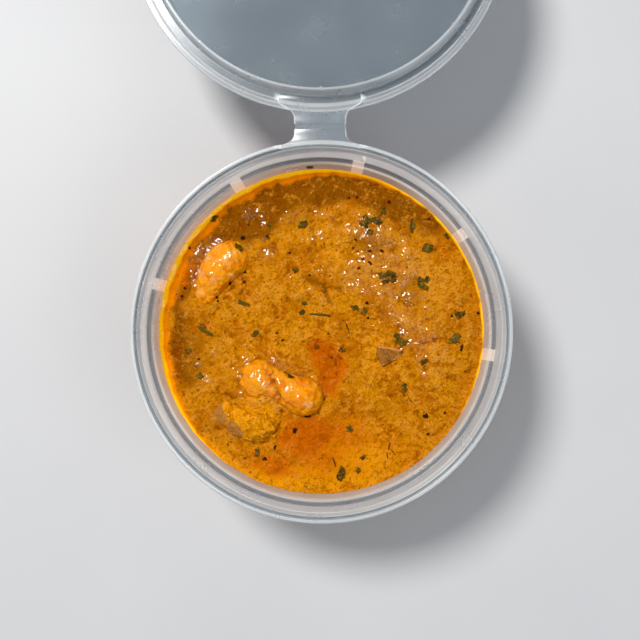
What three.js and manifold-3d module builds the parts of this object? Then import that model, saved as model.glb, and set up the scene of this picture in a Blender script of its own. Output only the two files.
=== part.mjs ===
// Shrimp curry in a round hinged-lid tub, with the lid open.
//
// Millimetres, +Z up. The origin is under the tub's centre, on the surface the tub stands on.
// The lid opens towards +Y and lies level with the tub's rim; turning it half a turn about the
// hinge line, towards -Y, shuts it. The thin strip that joins the two strap halves is left out,
// so that tub and lid are two separate solids with a running gap between them.

import * as THREE from 'three';
import { mergeVertices } from 'three/addons/utils/BufferGeometryUtils.js';
import Module from 'manifold-3d';

const wasm = await Module();
wasm.setup();

// ---------------------------------------------------------------------------------------------
// Driving dimensions
// ---------------------------------------------------------------------------------------------

const ROUND_SEGMENTS = 64;
const CLEARANCE = 0.3; // between the food and whatever it lies against
const POCKET_CLEARANCE = 0.35; // between the sauce and a piece that curls in it

const tub = {
  wall: 0.9,
  floor: 1.0,
  floorRadius: 45.6, // inside of the wall where it meets the floor
  mouthRadius: 51.8, // inside of the wall where it meets the first step
  mouthHeight: 39.4,
  height: 45.0,
  rimRadius: 58.0,
  lipWidth: 1.2,
  flangeHeight: 44.0, // flat ring inside the raised lip; the strap lies at this height
  grooveRadius: [36.0, 39.0],
  grooveDepth: 0.4,
  lipGapHalf: [11.8, 13.2], // half width of the gap in the raised lip, at its foot and its top
};

// Steps of the rim, from the mouth outwards: the flat tread's height, and where it starts and
// ends on the inside face.
const treads = [
  { height: tub.mouthHeight, from: tub.mouthRadius, to: 52.7 },
  { height: 42.0, from: 53.15, to: 55.3 },
  { height: tub.flangeHeight, from: 55.9, to: tub.rimRadius - tub.lipWidth },
];

const ribs = {
  angles: [-8.2, 34.3, 77.2, 119.4, 163.5], // degrees from +X, all on the hinge half
  width: 3.6,
  reach: 53.5, // radius of the outer face
  bottom: 29.0,
};

const nibs = {
  width: 0.45,
  rise: 0.45,
  places: [
    { angle: 38.5, from: 56.0, to: 56.9, height: tub.flangeHeight },
    { angle: 76.5, from: 53.7, to: 55.2, height: treads[1].height },
    { angle: 164.0, from: 53.4, to: 55.2, height: treads[1].height },
  ],
};

const hinge = {
  y: 62.4,
  gap: 1.0, // between the strap halves, bridged by the flexible strip
  strapHalfWidth: 7.9,
  grooveHalfWidth: 7.5,
  notch: 0.5, // length over which the strap narrows towards the groove
};

// The two halves of the strap: its edge at the hinge gap, where it starts to flare, the half width
// and the y at which the flare meets the rim, and how far it runs on under the rim.
const tubStrap = {
  edgeY: hinge.y - hinge.gap / 2, straightY: 60.2, rootX: 13.2, rootY: 56.4, backY: 50.0,
};
const lidStrap = {
  edgeY: hinge.y + hinge.gap / 2, straightY: 64.6, rootX: 12.6, rootY: 69.6, backY: 72.2,
};

const lid = {
  centreY: 124.9,
  radius: 58.0,
  panelRadius: 55.8,
  stepRun: 0.6, // run of the step between panel and outer lip
  lipDrop: 1.1, // open, the outer lip lies this much under the panel
  plugHeight: 4.0,
  plugFoot: [51.9, 53.4], // inner and outer radius where the plug ring leaves the panel
  plugTip: [51.75, 52.6],
  plugWorn: 0.25, // cut back from the corners of the plug's tip
  tabWidth: 0.8,
  tabReach: [50.2, 52.7],
  tabX: 0.3,
};

const curry = {
  level: 33.5,
  footCutBack: 2.4, // rounds the foot off to suit the tub's inside corner
  rings: 9, // rings of points on the uneven top
  segments: 48,
  ripple: { rise: 0.16, waveX: 0.31, waveY: 0.27, shiftX: 0.8, shiftY: -0.4 },
};

// Low mounds and hollows of the sauce: centre, rise and spread.
const swells = [
  { x: -31, y: 17, rise: 0.5, spread: 9 }, // round the left shrimp
  { x: -17, y: -17, rise: 0.8, spread: 9 }, // round the middle shrimp
  { x: -24, y: -29, rise: 0.7, spread: 8 }, // round the lower shrimp
  { x: 20, y: 27, rise: 0.9, spread: 10 },
  { x: 36, y: 0, rise: 0.8, spread: 11 },
  { x: 4, y: -13, rise: -0.7, spread: 5 }, // oil beside the middle shrimp
  { x: 6, y: -38, rise: -0.8, spread: 12 }, // oil near the front wall
];

// Each shrimp is a curled body with round ends past its spine: spine points from head end to tail
// end, and its girth (radius) at the head, the middle and the tail.
const shrimps = [
  {
    name: 'shrimp_left',
    spine: [[-28.5, 23.0, 31.6], [-32.0, 20.2, 31.8], [-34.5, 16.1, 31.8], [-36.0, 12.1, 31.6]],
    girth: [6.3, 6.0, 4.0],
  },
  {
    name: 'shrimp_middle',
    spine: [[-5.7, -20.4, 31.9], [-10.4, -18.6, 32.0], [-15.0, -16.8, 31.9], [-19.4, -15.1, 31.6]],
    girth: [6.6, 5.7, 7.2],
  },
  {
    name: 'shrimp_lower',
    spine: [[-18.4, -29.8, 31.2], [-22.4, -29.4, 31.4], [-26.6, -27.8, 31.2], [-30.6, -25.6, 30.8]],
    girth: [5.7, 5.7, 4.6],
  },
];
const shrimpMesh = { sides: 12, rows: 14, endShare: 0.27 }; // share of the rows on a round end

const onion = {
  corners: [[17.9, -4.7], [25.5, -6.0], [24.8, -8.0], [19.2, -11.0], [17.4, -7.8]],
  top: 34.3,
  thickness: 3.2,
  bevel: 0.5,
};

// ---------------------------------------------------------------------------------------------
// Shared helpers
// ---------------------------------------------------------------------------------------------

const WELD = 1e-4;

/** Turns a closed three.js geometry into a solid for booleans. */
function toSolid(geometry) {
  const bare = geometry.clone();
  bare.deleteAttribute('normal');
  bare.deleteAttribute('uv');
  const welded = mergeVertices(bare, WELD);
  const corners = welded.index.array;
  const triangles = [];
  for (let i = 0; i < corners.length; i += 3) {
    const [a, b, c] = corners.slice(i, i + 3);
    if (a !== b && b !== c && c !== a) triangles.push(a, b, c);
  }
  return new wasm.Manifold(new wasm.Mesh({
    numProp: 3,
    vertProperties: new Float32Array(welded.attributes.position.array),
    triVerts: new Uint32Array(triangles),
  }));
}

/** Turns a solid back into a three.js geometry. */
function toGeometry(solid) {
  const { vertProperties, triVerts } = solid.getMesh();
  const geometry = new THREE.BufferGeometry();
  geometry.setAttribute('position', new THREE.BufferAttribute(vertProperties, 3));
  geometry.setIndex(new THREE.BufferAttribute(triVerts, 1));
  geometry.computeVertexNormals();
  return geometry;
}

/** Outline from corners [radius, height, cutBack]: a corner with a cutBack is rounded off. */
function roundedOutline(corners, steps = 1) {
  return corners.flatMap(([r, z, cutBack = 0], i) => {
    const corner = new THREE.Vector2(r, z);
    if (cutBack === 0) return [corner];
    const [before, after] = [corners[i - 1], corners[i + 1]].map(([nextR, nextZ]) =>
      new THREE.Vector2(nextR, nextZ).sub(corner).setLength(cutBack).add(corner));
    return new THREE.QuadraticBezierCurve(before, corner, after).getPoints(steps);
  });
}

/** Solid of revolution about Z of an outline that runs round it anticlockwise. */
function spin(outline, segments = ROUND_SEGMENTS) {
  return toSolid(new THREE.LatheGeometry(outline, segments).rotateX(Math.PI / 2));
}

/** Plain round disc about Z. */
function disc(radius, bottom, top) {
  return spin([[0, bottom], [radius, bottom], [radius, top], [0, top]]
    .map(([r, z]) => new THREE.Vector2(r, z)));
}

/** Block between two radii and two heights, centred on a direction given in degrees. */
function radialBlock(angle, [inner, outer], width, [bottom, top]) {
  const block = new THREE.BoxGeometry(outer - inner, width, top - bottom);
  block.translate((inner + outer) / 2, 0, (bottom + top) / 2);
  block.rotateZ(THREE.MathUtils.degToRad(angle));
  return toSolid(block);
}

/** Flat sheet of a shape in XY, from bottom to top. */
function sheet(shape, bottom, top) {
  const geometry = new THREE.ExtrudeGeometry(shape, {
    depth: top - bottom, bevelEnabled: false, curveSegments: 6,
  });
  return toSolid(geometry.translate(0, 0, bottom));
}

/** Half of the hinge strap: straight from the groove, then flaring into the rim it grows from. */
function strapShape({ edgeY, straightY, rootX, rootY, backY }) {
  const towardsRim = Math.sign(backY - edgeY);
  const { strapHalfWidth: half, grooveHalfWidth: narrow, notch } = hinge;
  const shape = new THREE.Shape();
  shape.moveTo(-narrow, edgeY);
  shape.lineTo(narrow, edgeY);
  shape.lineTo(half, edgeY + towardsRim * notch);
  shape.lineTo(half, straightY);
  shape.quadraticCurveTo(half, (straightY + 2 * rootY) / 3, rootX, rootY);
  shape.lineTo(rootX, backY);
  shape.lineTo(-rootX, backY);
  shape.lineTo(-rootX, rootY);
  shape.quadraticCurveTo(-half, (straightY + 2 * rootY) / 3, -half, straightY);
  shape.lineTo(-half, edgeY + towardsRim * notch);
  return shape;
}

// ---------------------------------------------------------------------------------------------
// Tub
// ---------------------------------------------------------------------------------------------

const wallSlope = (tub.mouthRadius - tub.floorRadius) / (tub.mouthHeight - tub.floor);

/** Inside radius of the sloping wall at a height. */
function wallRadius(z) {
  return tub.floorRadius + wallSlope * (z - tub.floor);
}

function tubBody() {
  const { wall, floor, height, rimRadius, lipWidth } = tub;
  const [grooveInner, grooveOuter] = tub.grooveRadius;
  const [first, second, flange] = treads;
  return spin(roundedOutline([
    [0, 0],
    [grooveInner, 0],
    [grooveInner + tub.grooveDepth, tub.grooveDepth],
    [grooveOuter - tub.grooveDepth, tub.grooveDepth],
    [grooveOuter, 0],
    [wallRadius(0) + wall, 0, 2.6],
    [wallRadius(first.height - wall) + wall, first.height - wall],
    [first.to + wall, first.height - wall],
    [second.from + wall, second.height - wall],
    [second.to + wall, second.height - wall],
    [flange.from + wall, flange.height - wall],
    [rimRadius, flange.height - wall, 0.3],
    [rimRadius, height, 0.4],
    [rimRadius - lipWidth, height, 0.4],
    [flange.to, flange.height],
    [flange.from, flange.height, 0.35],
    [second.to, second.height],
    [second.from, second.height, 0.35],
    [first.to, first.height],
    [first.from, first.height, 0.35],
    [tub.floorRadius, floor, 2.0],
    [0, floor],
  ]));
}

/** Wedge-ended block that takes the raised lip away where the strap leaves the rim. */
function lipGap() {
  const top = tub.height + tub.wall / 2;
  const [halfAtFlange, halfAtTop] = tub.lipGapHalf;
  const section = new THREE.Shape([
    new THREE.Vector2(-halfAtFlange, tub.flangeHeight),
    new THREE.Vector2(halfAtFlange, tub.flangeHeight),
    new THREE.Vector2(halfAtTop, top),
    new THREE.Vector2(-halfAtTop, top),
  ]);
  const [near, far] = [treads[1].to, tub.rimRadius + tub.lipWidth];
  const geometry = new THREE.ExtrudeGeometry(section, { depth: far - near, bevelEnabled: false });
  return toSolid(geometry.rotateX(Math.PI / 2).translate(0, far, 0));
}

function tubSolid() {
  let solid = tubBody().subtract(lipGap());
  const flangeMiddle = (treads[2].from + tub.rimRadius) / 2;
  const strap = sheet(strapShape(tubStrap), tub.flangeHeight - tub.wall, tub.flangeHeight);
  solid = solid.add(strap.subtract(disc(flangeMiddle, tub.mouthHeight, tub.height)));
  for (const angle of ribs.angles) {
    const root = wallRadius(ribs.bottom) + tub.wall / 2;
    const rib = radialBlock(angle, [root, ribs.reach], ribs.width,
      [ribs.bottom, treads[0].height - tub.wall / 2]);
    solid = solid.add(rib.subtract(tubMouth()));
  }
  for (const { angle, from, to, height } of nibs.places) {
    const span = [height - tub.wall / 2, height + nibs.rise];
    solid = solid.add(radialBlock(angle, [from, to], nibs.width, span));
  }
  return solid;
}

/** The hollow inside the sloping wall, which nothing outside the wall may enter. */
function tubMouth() {
  const inside = tub.wall / 2; // stops halfway into the wall
  return spin([
    [0, tub.floor],
    [tub.floorRadius + inside, tub.floor],
    [tub.mouthRadius + inside, tub.mouthHeight],
    [0, tub.mouthHeight],
  ].map(([r, z]) => new THREE.Vector2(r, z)));
}

// ---------------------------------------------------------------------------------------------
// Lid
// ---------------------------------------------------------------------------------------------

function lidDisc() {
  const top = tub.flangeHeight;
  const under = top - tub.wall;
  const { radius, panelRadius, stepRun, lipDrop, plugHeight, plugFoot, plugTip, plugWorn } = lid;
  const setBack = tub.wall / 2; // the underside's step lies inside the top's
  return spin(roundedOutline([
    [0, under],
    [panelRadius - setBack, under],
    [panelRadius + stepRun - setBack, under - lipDrop],
    [radius, under - lipDrop, 0.3],
    [radius, top - lipDrop, 0.3],
    [panelRadius + stepRun, top - lipDrop],
    [panelRadius, top, 0.3],
    [plugFoot[1], top],
    [plugTip[1], top + plugHeight, plugWorn],
    [plugTip[0], top + plugHeight, plugWorn],
    [plugFoot[0], top],
    [0, top],
  ])).translate(0, lid.centreY, 0);
}

function lidSolid() {
  const top = tub.flangeHeight;
  const lowest = top - tub.wall - lid.lipDrop;
  const strap = strapShape(lidStrap);
  const gusset = sheet(strap, lowest, top)
    .intersect(disc(lid.radius, lowest, top).translate(0, lid.centreY, 0));
  const tab = radialBlock(-90, lid.tabReach, lid.tabWidth, [top - tub.wall / 2, top + lid.plugHeight])
    .translate(lid.tabX, lid.centreY, 0);
  return lidDisc().add(sheet(strap, top - tub.wall, top)).add(gusset).add(tab);
}

// ---------------------------------------------------------------------------------------------
// Food
// ---------------------------------------------------------------------------------------------

/** Height of the sauce above its level at a place: mounds, hollows and small ripples. */
function sauceRelief(x, y) {
  const mounds = swells.reduce((sum, { x: cx, y: cy, rise, spread }) =>
    sum + rise * Math.exp(-((x - cx) ** 2 + (y - cy) ** 2) / (spread * spread)), 0);
  const { rise: height, waveX, waveY, shiftX, shiftY } = curry.ripple;
  return mounds + height * Math.sin(waveX * x + shiftX) * Math.cos(waveY * y + shiftY);
}

/** Body of a shrimp, larger all round by grow: rows along its spine and round both ends. */
function shrimpSolid({ spine, girth }, grow = 0) {
  const curve = new THREE.CatmullRomCurve3(spine.map((point) => new THREE.Vector3(...point)));
  const [head, middle, tail] = girth;
  const { sides, rows, endShare } = shrimpMesh;
  const up = new THREE.Vector3(0, 0, 1);
  const geometry = new THREE.SphereGeometry(1, sides, rows);
  const place = geometry.attributes.position;
  for (let i = 0; i < place.count; i += 1) {
    const ball = new THREE.Vector3().fromBufferAttribute(place, i);
    const row = Math.acos(THREE.MathUtils.clamp(ball.y, -1, 1)) / Math.PI;
    const along = THREE.MathUtils.clamp((row - endShare) / (1 - 2 * endShare), 0, 1);
    const turn = Math.min(row, 1 - row, endShare) / endShare * Math.PI / 2;
    const endSize = THREE.MathUtils.lerp(head, tail, along);
    const size = grow + endSize + (middle - (head + tail) / 2) * Math.sin(Math.PI * along);
    const around = Math.hypot(ball.x, ball.z);
    const radius = around > WELD ? size * Math.sin(turn) / around : 0;
    const tangent = curve.getTangent(along);
    const side = new THREE.Vector3().crossVectors(up, tangent).normalize();
    const point = curve.getPoint(along)
      .addScaledVector(side, ball.x * radius)
      .addScaledVector(up, ball.z * radius)
      .addScaledVector(tangent, -Math.sign(ball.y) * size * Math.cos(turn));
    place.setXYZ(i, point.x, point.y, point.z);
  }
  return toSolid(geometry);
}

/** Flat cornered piece of onion with worn edges, larger all round by grow. */
function onionSolid(grow = 0) {
  const { corners, top, thickness, bevel } = onion;
  const shape = new THREE.Shape(corners.map(([x, y]) => new THREE.Vector2(x, y)).reverse());
  const worn = bevel + grow;
  const geometry = new THREE.ExtrudeGeometry(shape, {
    depth: thickness - 2 * bevel, bevelThickness: worn, bevelSize: worn, bevelSegments: 2,
  });
  return toSolid(geometry.translate(0, 0, top - thickness + bevel));
}

/** The sauce up to its uneven top, with a pocket for each piece that lies in it. */
function currySolid() {
  const bottom = tub.floor + CLEARANCE;
  const edge = wallRadius(curry.level) - CLEARANCE;
  const corners = [
    [0, bottom],
    [wallRadius(bottom) - CLEARANCE, bottom, curry.footCutBack],
  ];
  for (let ring = 0; ring <= curry.rings; ring += 1) {
    corners.push([edge * (1 - ring / curry.rings), curry.level]);
  }
  const geometry = new THREE.LatheGeometry(roundedOutline(corners), curry.segments);
  geometry.rotateX(Math.PI / 2);
  const place = geometry.attributes.position;
  for (let i = 0; i < place.count; i += 1) {
    const [x, y, z] = [place.getX(i), place.getY(i), place.getZ(i)];
    const nearWall = Math.hypot(x, y) > edge - WELD;
    if (z > curry.level - WELD && !nearWall) place.setZ(i, z + sauceRelief(x, y));
  }
  let solid = toSolid(geometry).subtract(onionSolid(CLEARANCE));
  for (const shrimp of shrimps) {
    solid = solid.subtract(shrimpSolid(shrimp, POCKET_CLEARANCE));
  }
  return solid;
}

// ---------------------------------------------------------------------------------------------
// Scene graph
// ---------------------------------------------------------------------------------------------

const finishes = {
  milkyPlastic: new THREE.MeshStandardMaterial({
    color: 0xd9dfe2, roughness: 0.35, metalness: 0, transparent: true, opacity: 0.5,
  }),
  sauce: new THREE.MeshStandardMaterial({ color: 0xcf8214, roughness: 0.4, metalness: 0 }),
  shrimpFlesh: new THREE.MeshStandardMaterial({ color: 0xe8953c, roughness: 0.35, metalness: 0 }),
  coatedFlesh: new THREE.MeshStandardMaterial({ color: 0xcf8a2c, roughness: 0.45, metalness: 0 }),
  onionFlesh: new THREE.MeshStandardMaterial({ color: 0x9a6526, roughness: 0.5, metalness: 0 }),
};

const model = new THREE.Group();

function addPiece(name, solid, material) {
  const mesh = new THREE.Mesh(toGeometry(solid), material);
  mesh.name = name;
  model.add(mesh);
}

addPiece('tub', tubSolid(), finishes.milkyPlastic);
addPiece('lid', lidSolid(), finishes.milkyPlastic);
addPiece('curry', currySolid(), finishes.sauce);
for (const shrimp of shrimps) {
  const material = shrimp.name === 'shrimp_lower' ? finishes.coatedFlesh : finishes.shrimpFlesh;
  addPiece(shrimp.name, shrimpSolid(shrimp), material);
}
addPiece('onion_piece', onionSolid(), finishes.onionFlesh);

export default model;
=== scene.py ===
"""Shrimp curry in a round tub of milky plastic with its hinged lid open: the looks.

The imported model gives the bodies, the joint and the place of each node. This script puts fine
pieces in the places of the faceted nodes, adds what is too thin or too small for a node (oil,
herbs, spice, the bending strip of the hinge) and sets up floor, light and camera.

Lengths are written in millimetres and turned into metres where a mesh is made. Places on the
food are written as pixels of the picture that the camera gives, and drop onto the food from there.
"""

import logging
import math
from contextlib import contextmanager
from dataclasses import dataclass, field
from enum import Enum
from itertools import pairwise
from typing import Iterator, Sequence

import bpy
import numpy as np
from mathutils import Matrix, Vector, noise

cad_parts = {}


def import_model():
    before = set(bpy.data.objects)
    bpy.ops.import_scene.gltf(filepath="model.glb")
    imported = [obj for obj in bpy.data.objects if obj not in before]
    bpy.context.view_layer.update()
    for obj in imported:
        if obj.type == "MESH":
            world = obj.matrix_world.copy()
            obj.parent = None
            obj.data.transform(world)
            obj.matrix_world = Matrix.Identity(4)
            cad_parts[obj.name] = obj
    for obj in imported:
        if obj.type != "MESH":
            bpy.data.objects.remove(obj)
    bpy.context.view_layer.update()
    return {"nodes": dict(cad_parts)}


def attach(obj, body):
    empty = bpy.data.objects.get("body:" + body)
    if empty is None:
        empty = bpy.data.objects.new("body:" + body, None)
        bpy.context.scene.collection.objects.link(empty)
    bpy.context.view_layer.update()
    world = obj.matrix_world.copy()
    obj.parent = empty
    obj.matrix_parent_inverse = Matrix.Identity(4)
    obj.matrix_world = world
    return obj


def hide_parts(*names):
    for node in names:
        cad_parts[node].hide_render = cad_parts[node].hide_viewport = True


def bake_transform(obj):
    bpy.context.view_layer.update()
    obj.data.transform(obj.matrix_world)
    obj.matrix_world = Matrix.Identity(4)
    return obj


LOG = logging.getLogger("curry")
MM = 0.001
TUB_BODY = "tub_body"
LID_BODY = "lid_body"
STUDIO_GAIN = 1.3  # how much brighter than its paint a matt surface shows in the studio's light
SEAM = 0.002  # points nearer than this, in millimetres, are welded
UP = Vector((0, 0, 1))

Colour = tuple[float, float, float]
Pair = tuple[float, float]
Spot = tuple[float, float, float]
Row = tuple[float, ...]


def paint(red: float, green: float, blue: float) -> Colour:
    """Turns a display colour (0 to 255) into the linear colour that shaders use."""
    return tuple(c / 12.92 if c <= 0.04045 else ((c + 0.055) / 1.055) ** 2.4
                 for c in (red / 255, green / 255, blue / 255))


def seen(red: float, green: float, blue: float) -> Colour:
    """The colour of a matt surface that shows as this display colour in the studio's light."""
    return tuple(c / STUDIO_GAIN for c in paint(red, green, blue))


# ---------------------------------------------------------------------------------------------
# Workbench: modelling operators
# ---------------------------------------------------------------------------------------------


class Cut(Enum):
    """Ways of combining two solids."""

    UNION = "UNION"
    DIFFERENCE = "DIFFERENCE"
    INTERSECT = "INTERSECT"


@dataclass(frozen=True)
class Corner:
    """One corner of an outline that is turned about a vertical axis.

    Args:
        r: distance from the axis, in millimetres.
        z: height, in millimetres.
        rounding: radius of the arc that rounds the corner off, or 0 for a sharp one.
    """

    r: float
    z: float
    rounding: float = 0.0


def rounded(corners: Sequence[Corner], steps: int) -> list[Vector]:
    """Runs through the corners and swaps each rounded one for an arc.

    Args:
        corners: the outline's corners, in order.
        steps: pieces in each arc.

    Returns:
        The points (radius, 0, height), in metres.
    """
    points: list[Vector] = []
    spots = [Vector((c.r, 0.0, c.z)) for c in corners]
    for i, corner in enumerate(corners):
        if corner.rounding == 0:
            points.append(spots[i] * MM)
            continue
        back = (spots[i - 1] - spots[i]).normalized()
        ahead = (spots[(i + 1) % len(spots)] - spots[i]).normalized()
        half_angle = back.angle(ahead) / 2
        centre = spots[i] + (back + ahead).normalized() * corner.rounding / math.sin(half_angle)
        reach = corner.rounding / math.tan(half_angle)
        first, last = spots[i] + back * reach - centre, spots[i] + ahead * reach - centre
        points += [(centre + first.slerp(last, s / steps) * corner.rounding) * MM
                   for s in range(steps + 1)]
    return points


class Bench:
    """Modelling steps that start from a primitive and use the mesh operators."""

    @staticmethod
    def deselect() -> None:
        """Leaves edit mode and clears the selection."""
        if bpy.context.mode != "OBJECT":
            bpy.ops.object.mode_set(mode="OBJECT")
        bpy.ops.object.select_all(action="DESELECT")

    @staticmethod
    @contextmanager
    def editing() -> Iterator[None]:
        """Edit mode for the active piece, with all of it selected at the start."""
        bpy.ops.object.mode_set(mode="EDIT")
        Bench.select_all()
        yield
        bpy.ops.object.mode_set(mode="OBJECT")

    @staticmethod
    def select_all() -> None:
        """Selects all of the piece that is in edit mode."""
        bpy.ops.mesh.select_all(action="SELECT")

    @staticmethod
    def face_outward() -> None:
        """Turns all faces of the piece that is in edit mode outward."""
        Bench.select_all()
        bpy.ops.mesh.normals_make_consistent(inside=False)

    @staticmethod
    def focus(piece: bpy.types.Object) -> None:
        """Makes one piece the selected and active one."""
        Bench.deselect()
        piece.select_set(True)
        bpy.context.view_layer.objects.active = piece

    @staticmethod
    def named(name: str) -> bpy.types.Object:
        """Names the active object and its mesh, and returns the object."""
        piece = bpy.context.object
        piece.name = name
        piece.data.name = name
        return piece

    @staticmethod
    def settle(piece: bpy.types.Object, smooth_angle: float = 35.0) -> None:
        """Puts the piece's place into its mesh, so that its object sits at the origin.

        Args:
            piece: the finished piece.
            smooth_angle: edges flatter than this many degrees shade smooth.
        """
        Bench.focus(piece)
        bpy.ops.object.transform_apply(location=True, rotation=True, scale=True)
        bpy.ops.object.shade_smooth_by_angle(angle=math.radians(smooth_angle))

    @staticmethod
    def declare(piece: bpy.types.Object, body: str, slot: str, finish: bpy.types.Material,
                node: str | None = None) -> None:
        """Gives a settled piece its finish and its place in the model.

        Args:
            piece: the piece.
            body: the body it rides on.
            slot: the record's material slot; not used.
            finish: its material.
            node: the node that it stands for, if any.
        """
        piece.data.materials.clear()
        piece.data.materials.append(finish)
        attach(piece, body)
        if node is not None:
            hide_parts(node)
        piece.data.calc_loop_triangles()
        LOG.info("%s: %d triangles on %s", piece.name, len(piece.data.loop_triangles), body)

    @staticmethod
    def turned(name: str, corners: Sequence[Corner], segments: int,
               centre: Pair = (0.0, 0.0), arc_steps: int = 4) -> bpy.types.Object:
        """Turns an outline about a vertical axis: extruded point by point, then spun.

        Args:
            name: the piece's name.
            corners: the outline, in millimetres, from the axis round to the axis.
            segments: pieces round the axis.
            centre: the axis' x and y, in millimetres.
            arc_steps: pieces in each rounded corner.

        Returns:
            The closed piece.
        """
        points = rounded(corners, arc_steps)
        axis = Vector((centre[0] * MM, centre[1] * MM, 0.0))
        Bench.deselect()
        bpy.ops.mesh.primitive_circle_add(vertices=3, radius=MM, location=axis + points[0])
        piece = Bench.named(name)
        with Bench.editing():
            bpy.ops.mesh.merge(type="CENTER")
            for here, there in pairwise(points):
                bpy.ops.mesh.extrude_region_move(TRANSFORM_OT_translate={"value": there - here})
            Bench.select_all()
            bpy.ops.mesh.spin(steps=segments, angle=2 * math.pi, center=axis, axis=(0, 0, 1))
            Bench.select_all()
            bpy.ops.mesh.remove_doubles(threshold=SEAM * MM)
            Bench.face_outward()
        return piece

    @staticmethod
    def block(name: str, size: Sequence[float], place: Sequence[float], turn: float = 0.0,
              worn: float = 0.0, top: Pair = (1.0, 1.0)) -> bpy.types.Object:
        """Makes a block, tapered if asked, with worn edges.

        Args:
            name: the piece's name.
            size: its three sizes, in millimetres.
            place: its centre, in millimetres.
            turn: degrees about the model's vertical axis, after it is placed.
            worn: width of the bevel on its edges, in millimetres.
            top: how much wider its top is than its foot, along x and y.

        Returns:
            The block.
        """
        Bench.deselect()
        bpy.ops.mesh.primitive_cube_add(size=1, location=Vector(place) * MM)
        piece = Bench.named(name)
        piece.scale = Vector(size) * MM
        bpy.ops.object.transform_apply(location=True, rotation=False, scale=True)
        with Bench.editing():
            if top != (1.0, 1.0):
                Bench.pick(piece, Bench.points(piece)[:, 2] > place[2] * MM)
                bpy.ops.transform.resize(value=(*top, 1), center_override=Vector(place) * MM)
            Bench.select_all()
            if worn:
                bpy.ops.mesh.bevel(offset=worn * MM, segments=2)
        piece.rotation_euler = (0, 0, math.radians(turn))
        bpy.ops.object.transform_apply(location=True, rotation=True, scale=True)
        return piece

    @staticmethod
    def pick(piece: bpy.types.Object, chosen: np.ndarray) -> None:
        """Selects some points of a piece, which is in edit mode and stays in it.

        Args:
            piece: the piece.
            chosen: for each of its points, whether to select it.
        """
        bpy.ops.mesh.select_mode(type="VERT")
        bpy.ops.mesh.select_all(action="DESELECT")
        bpy.ops.object.mode_set(mode="OBJECT")
        piece.data.vertices.foreach_set("select", chosen)
        bpy.ops.object.mode_set(mode="EDIT")

    @staticmethod
    def modify(piece: bpy.types.Object, kind: str, **settings: object) -> None:
        """Puts a modifier on a piece and applies it.

        Args:
            piece: the piece.
            kind: the modifier's type.
            settings: its properties.
        """
        Bench.focus(piece)
        modifier = piece.modifiers.new(kind, kind)
        for key, value in settings.items():
            setattr(modifier, key, value)
        bpy.ops.object.modifier_apply(modifier=modifier.name)

    @staticmethod
    def combine(piece: bpy.types.Object, other: bpy.types.Object, cut: Cut) -> None:
        """Joins or cuts a piece with another solid, which is used up."""
        Bench.modify(piece, "BOOLEAN", operation=cut.value, object=other, solver="EXACT")
        Bench.discard(other)

    @staticmethod
    def discard(*pieces: bpy.types.Object) -> None:
        """Removes pieces that have served."""
        for piece in pieces:
            bpy.data.objects.remove(piece, do_unlink=True)

    @staticmethod
    def join(name: str, pieces: Sequence[bpy.types.Object]) -> bpy.types.Object:
        """Makes one object of several."""
        Bench.deselect()
        for piece in pieces:
            piece.select_set(True)
        bpy.context.view_layer.objects.active = pieces[0]
        bpy.ops.object.join()
        return Bench.named(name)

    @staticmethod
    def copy(piece: bpy.types.Object, place: Matrix) -> bpy.types.Object:
        """Copies a piece, mesh and all, to another place."""
        double = piece.copy()
        double.data = piece.data.copy()
        double.matrix_world = place
        bpy.context.collection.objects.link(double)
        return double

    @staticmethod
    def points(piece: bpy.types.Object) -> np.ndarray:
        """The piece's points, one row each, in metres."""
        flat = np.empty(len(piece.data.vertices) * 3, dtype=np.float32)
        piece.data.vertices.foreach_get("co", flat)
        return flat.reshape(-1, 3).astype(float)

    @staticmethod
    def reshape(piece: bpy.types.Object, points: np.ndarray) -> None:
        """Moves the piece's points, given in metres."""
        piece.data.vertices.foreach_set("co", points.astype(np.float32).ravel())
        piece.data.update()

    @staticmethod
    def mark(piece: bpy.types.Object, name: str, values: np.ndarray) -> None:
        """Stores one number for each point, for the finish to read."""
        layer = piece.data.attributes.new(name, "FLOAT", "POINT")
        layer.data.foreach_set("value", np.clip(values, 0, 1).astype(np.float32))


# ---------------------------------------------------------------------------------------------
# Shader graph helpers
# ---------------------------------------------------------------------------------------------


class Link:
    """A shader value: a socket that can be used in Python expressions."""

    def __init__(self, graph: "Graph", socket: bpy.types.NodeSocket) -> None:
        """Keeps the graph and the socket."""
        self.graph = graph
        self.socket = socket

    def _math(self, operation: str, first: "Link | float", second: "Link | float") -> "Link":
        """Adds one Math node."""
        node = self.graph.node("ShaderNodeMath", {"operation": operation}, {0: first, 1: second})
        return Link(self.graph, node.outputs[0])

    def __add__(self, other: "Link | float") -> "Link":
        """Sum."""
        return self._math("ADD", self, other)

    __radd__ = __add__

    def __mul__(self, other: "Link | float") -> "Link":
        """Product."""
        return self._math("MULTIPLY", self, other)

    __rmul__ = __mul__

    def __sub__(self, other: "Link | float") -> "Link":
        """Difference."""
        return self._math("SUBTRACT", self, other)

    def __rsub__(self, other: float) -> "Link":
        """Difference from a number."""
        return self._math("SUBTRACT", other, self)

    def atleast(self, other: "Link | float") -> "Link":
        """The larger of two values."""
        return self._math("MAXIMUM", self, other)


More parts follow.
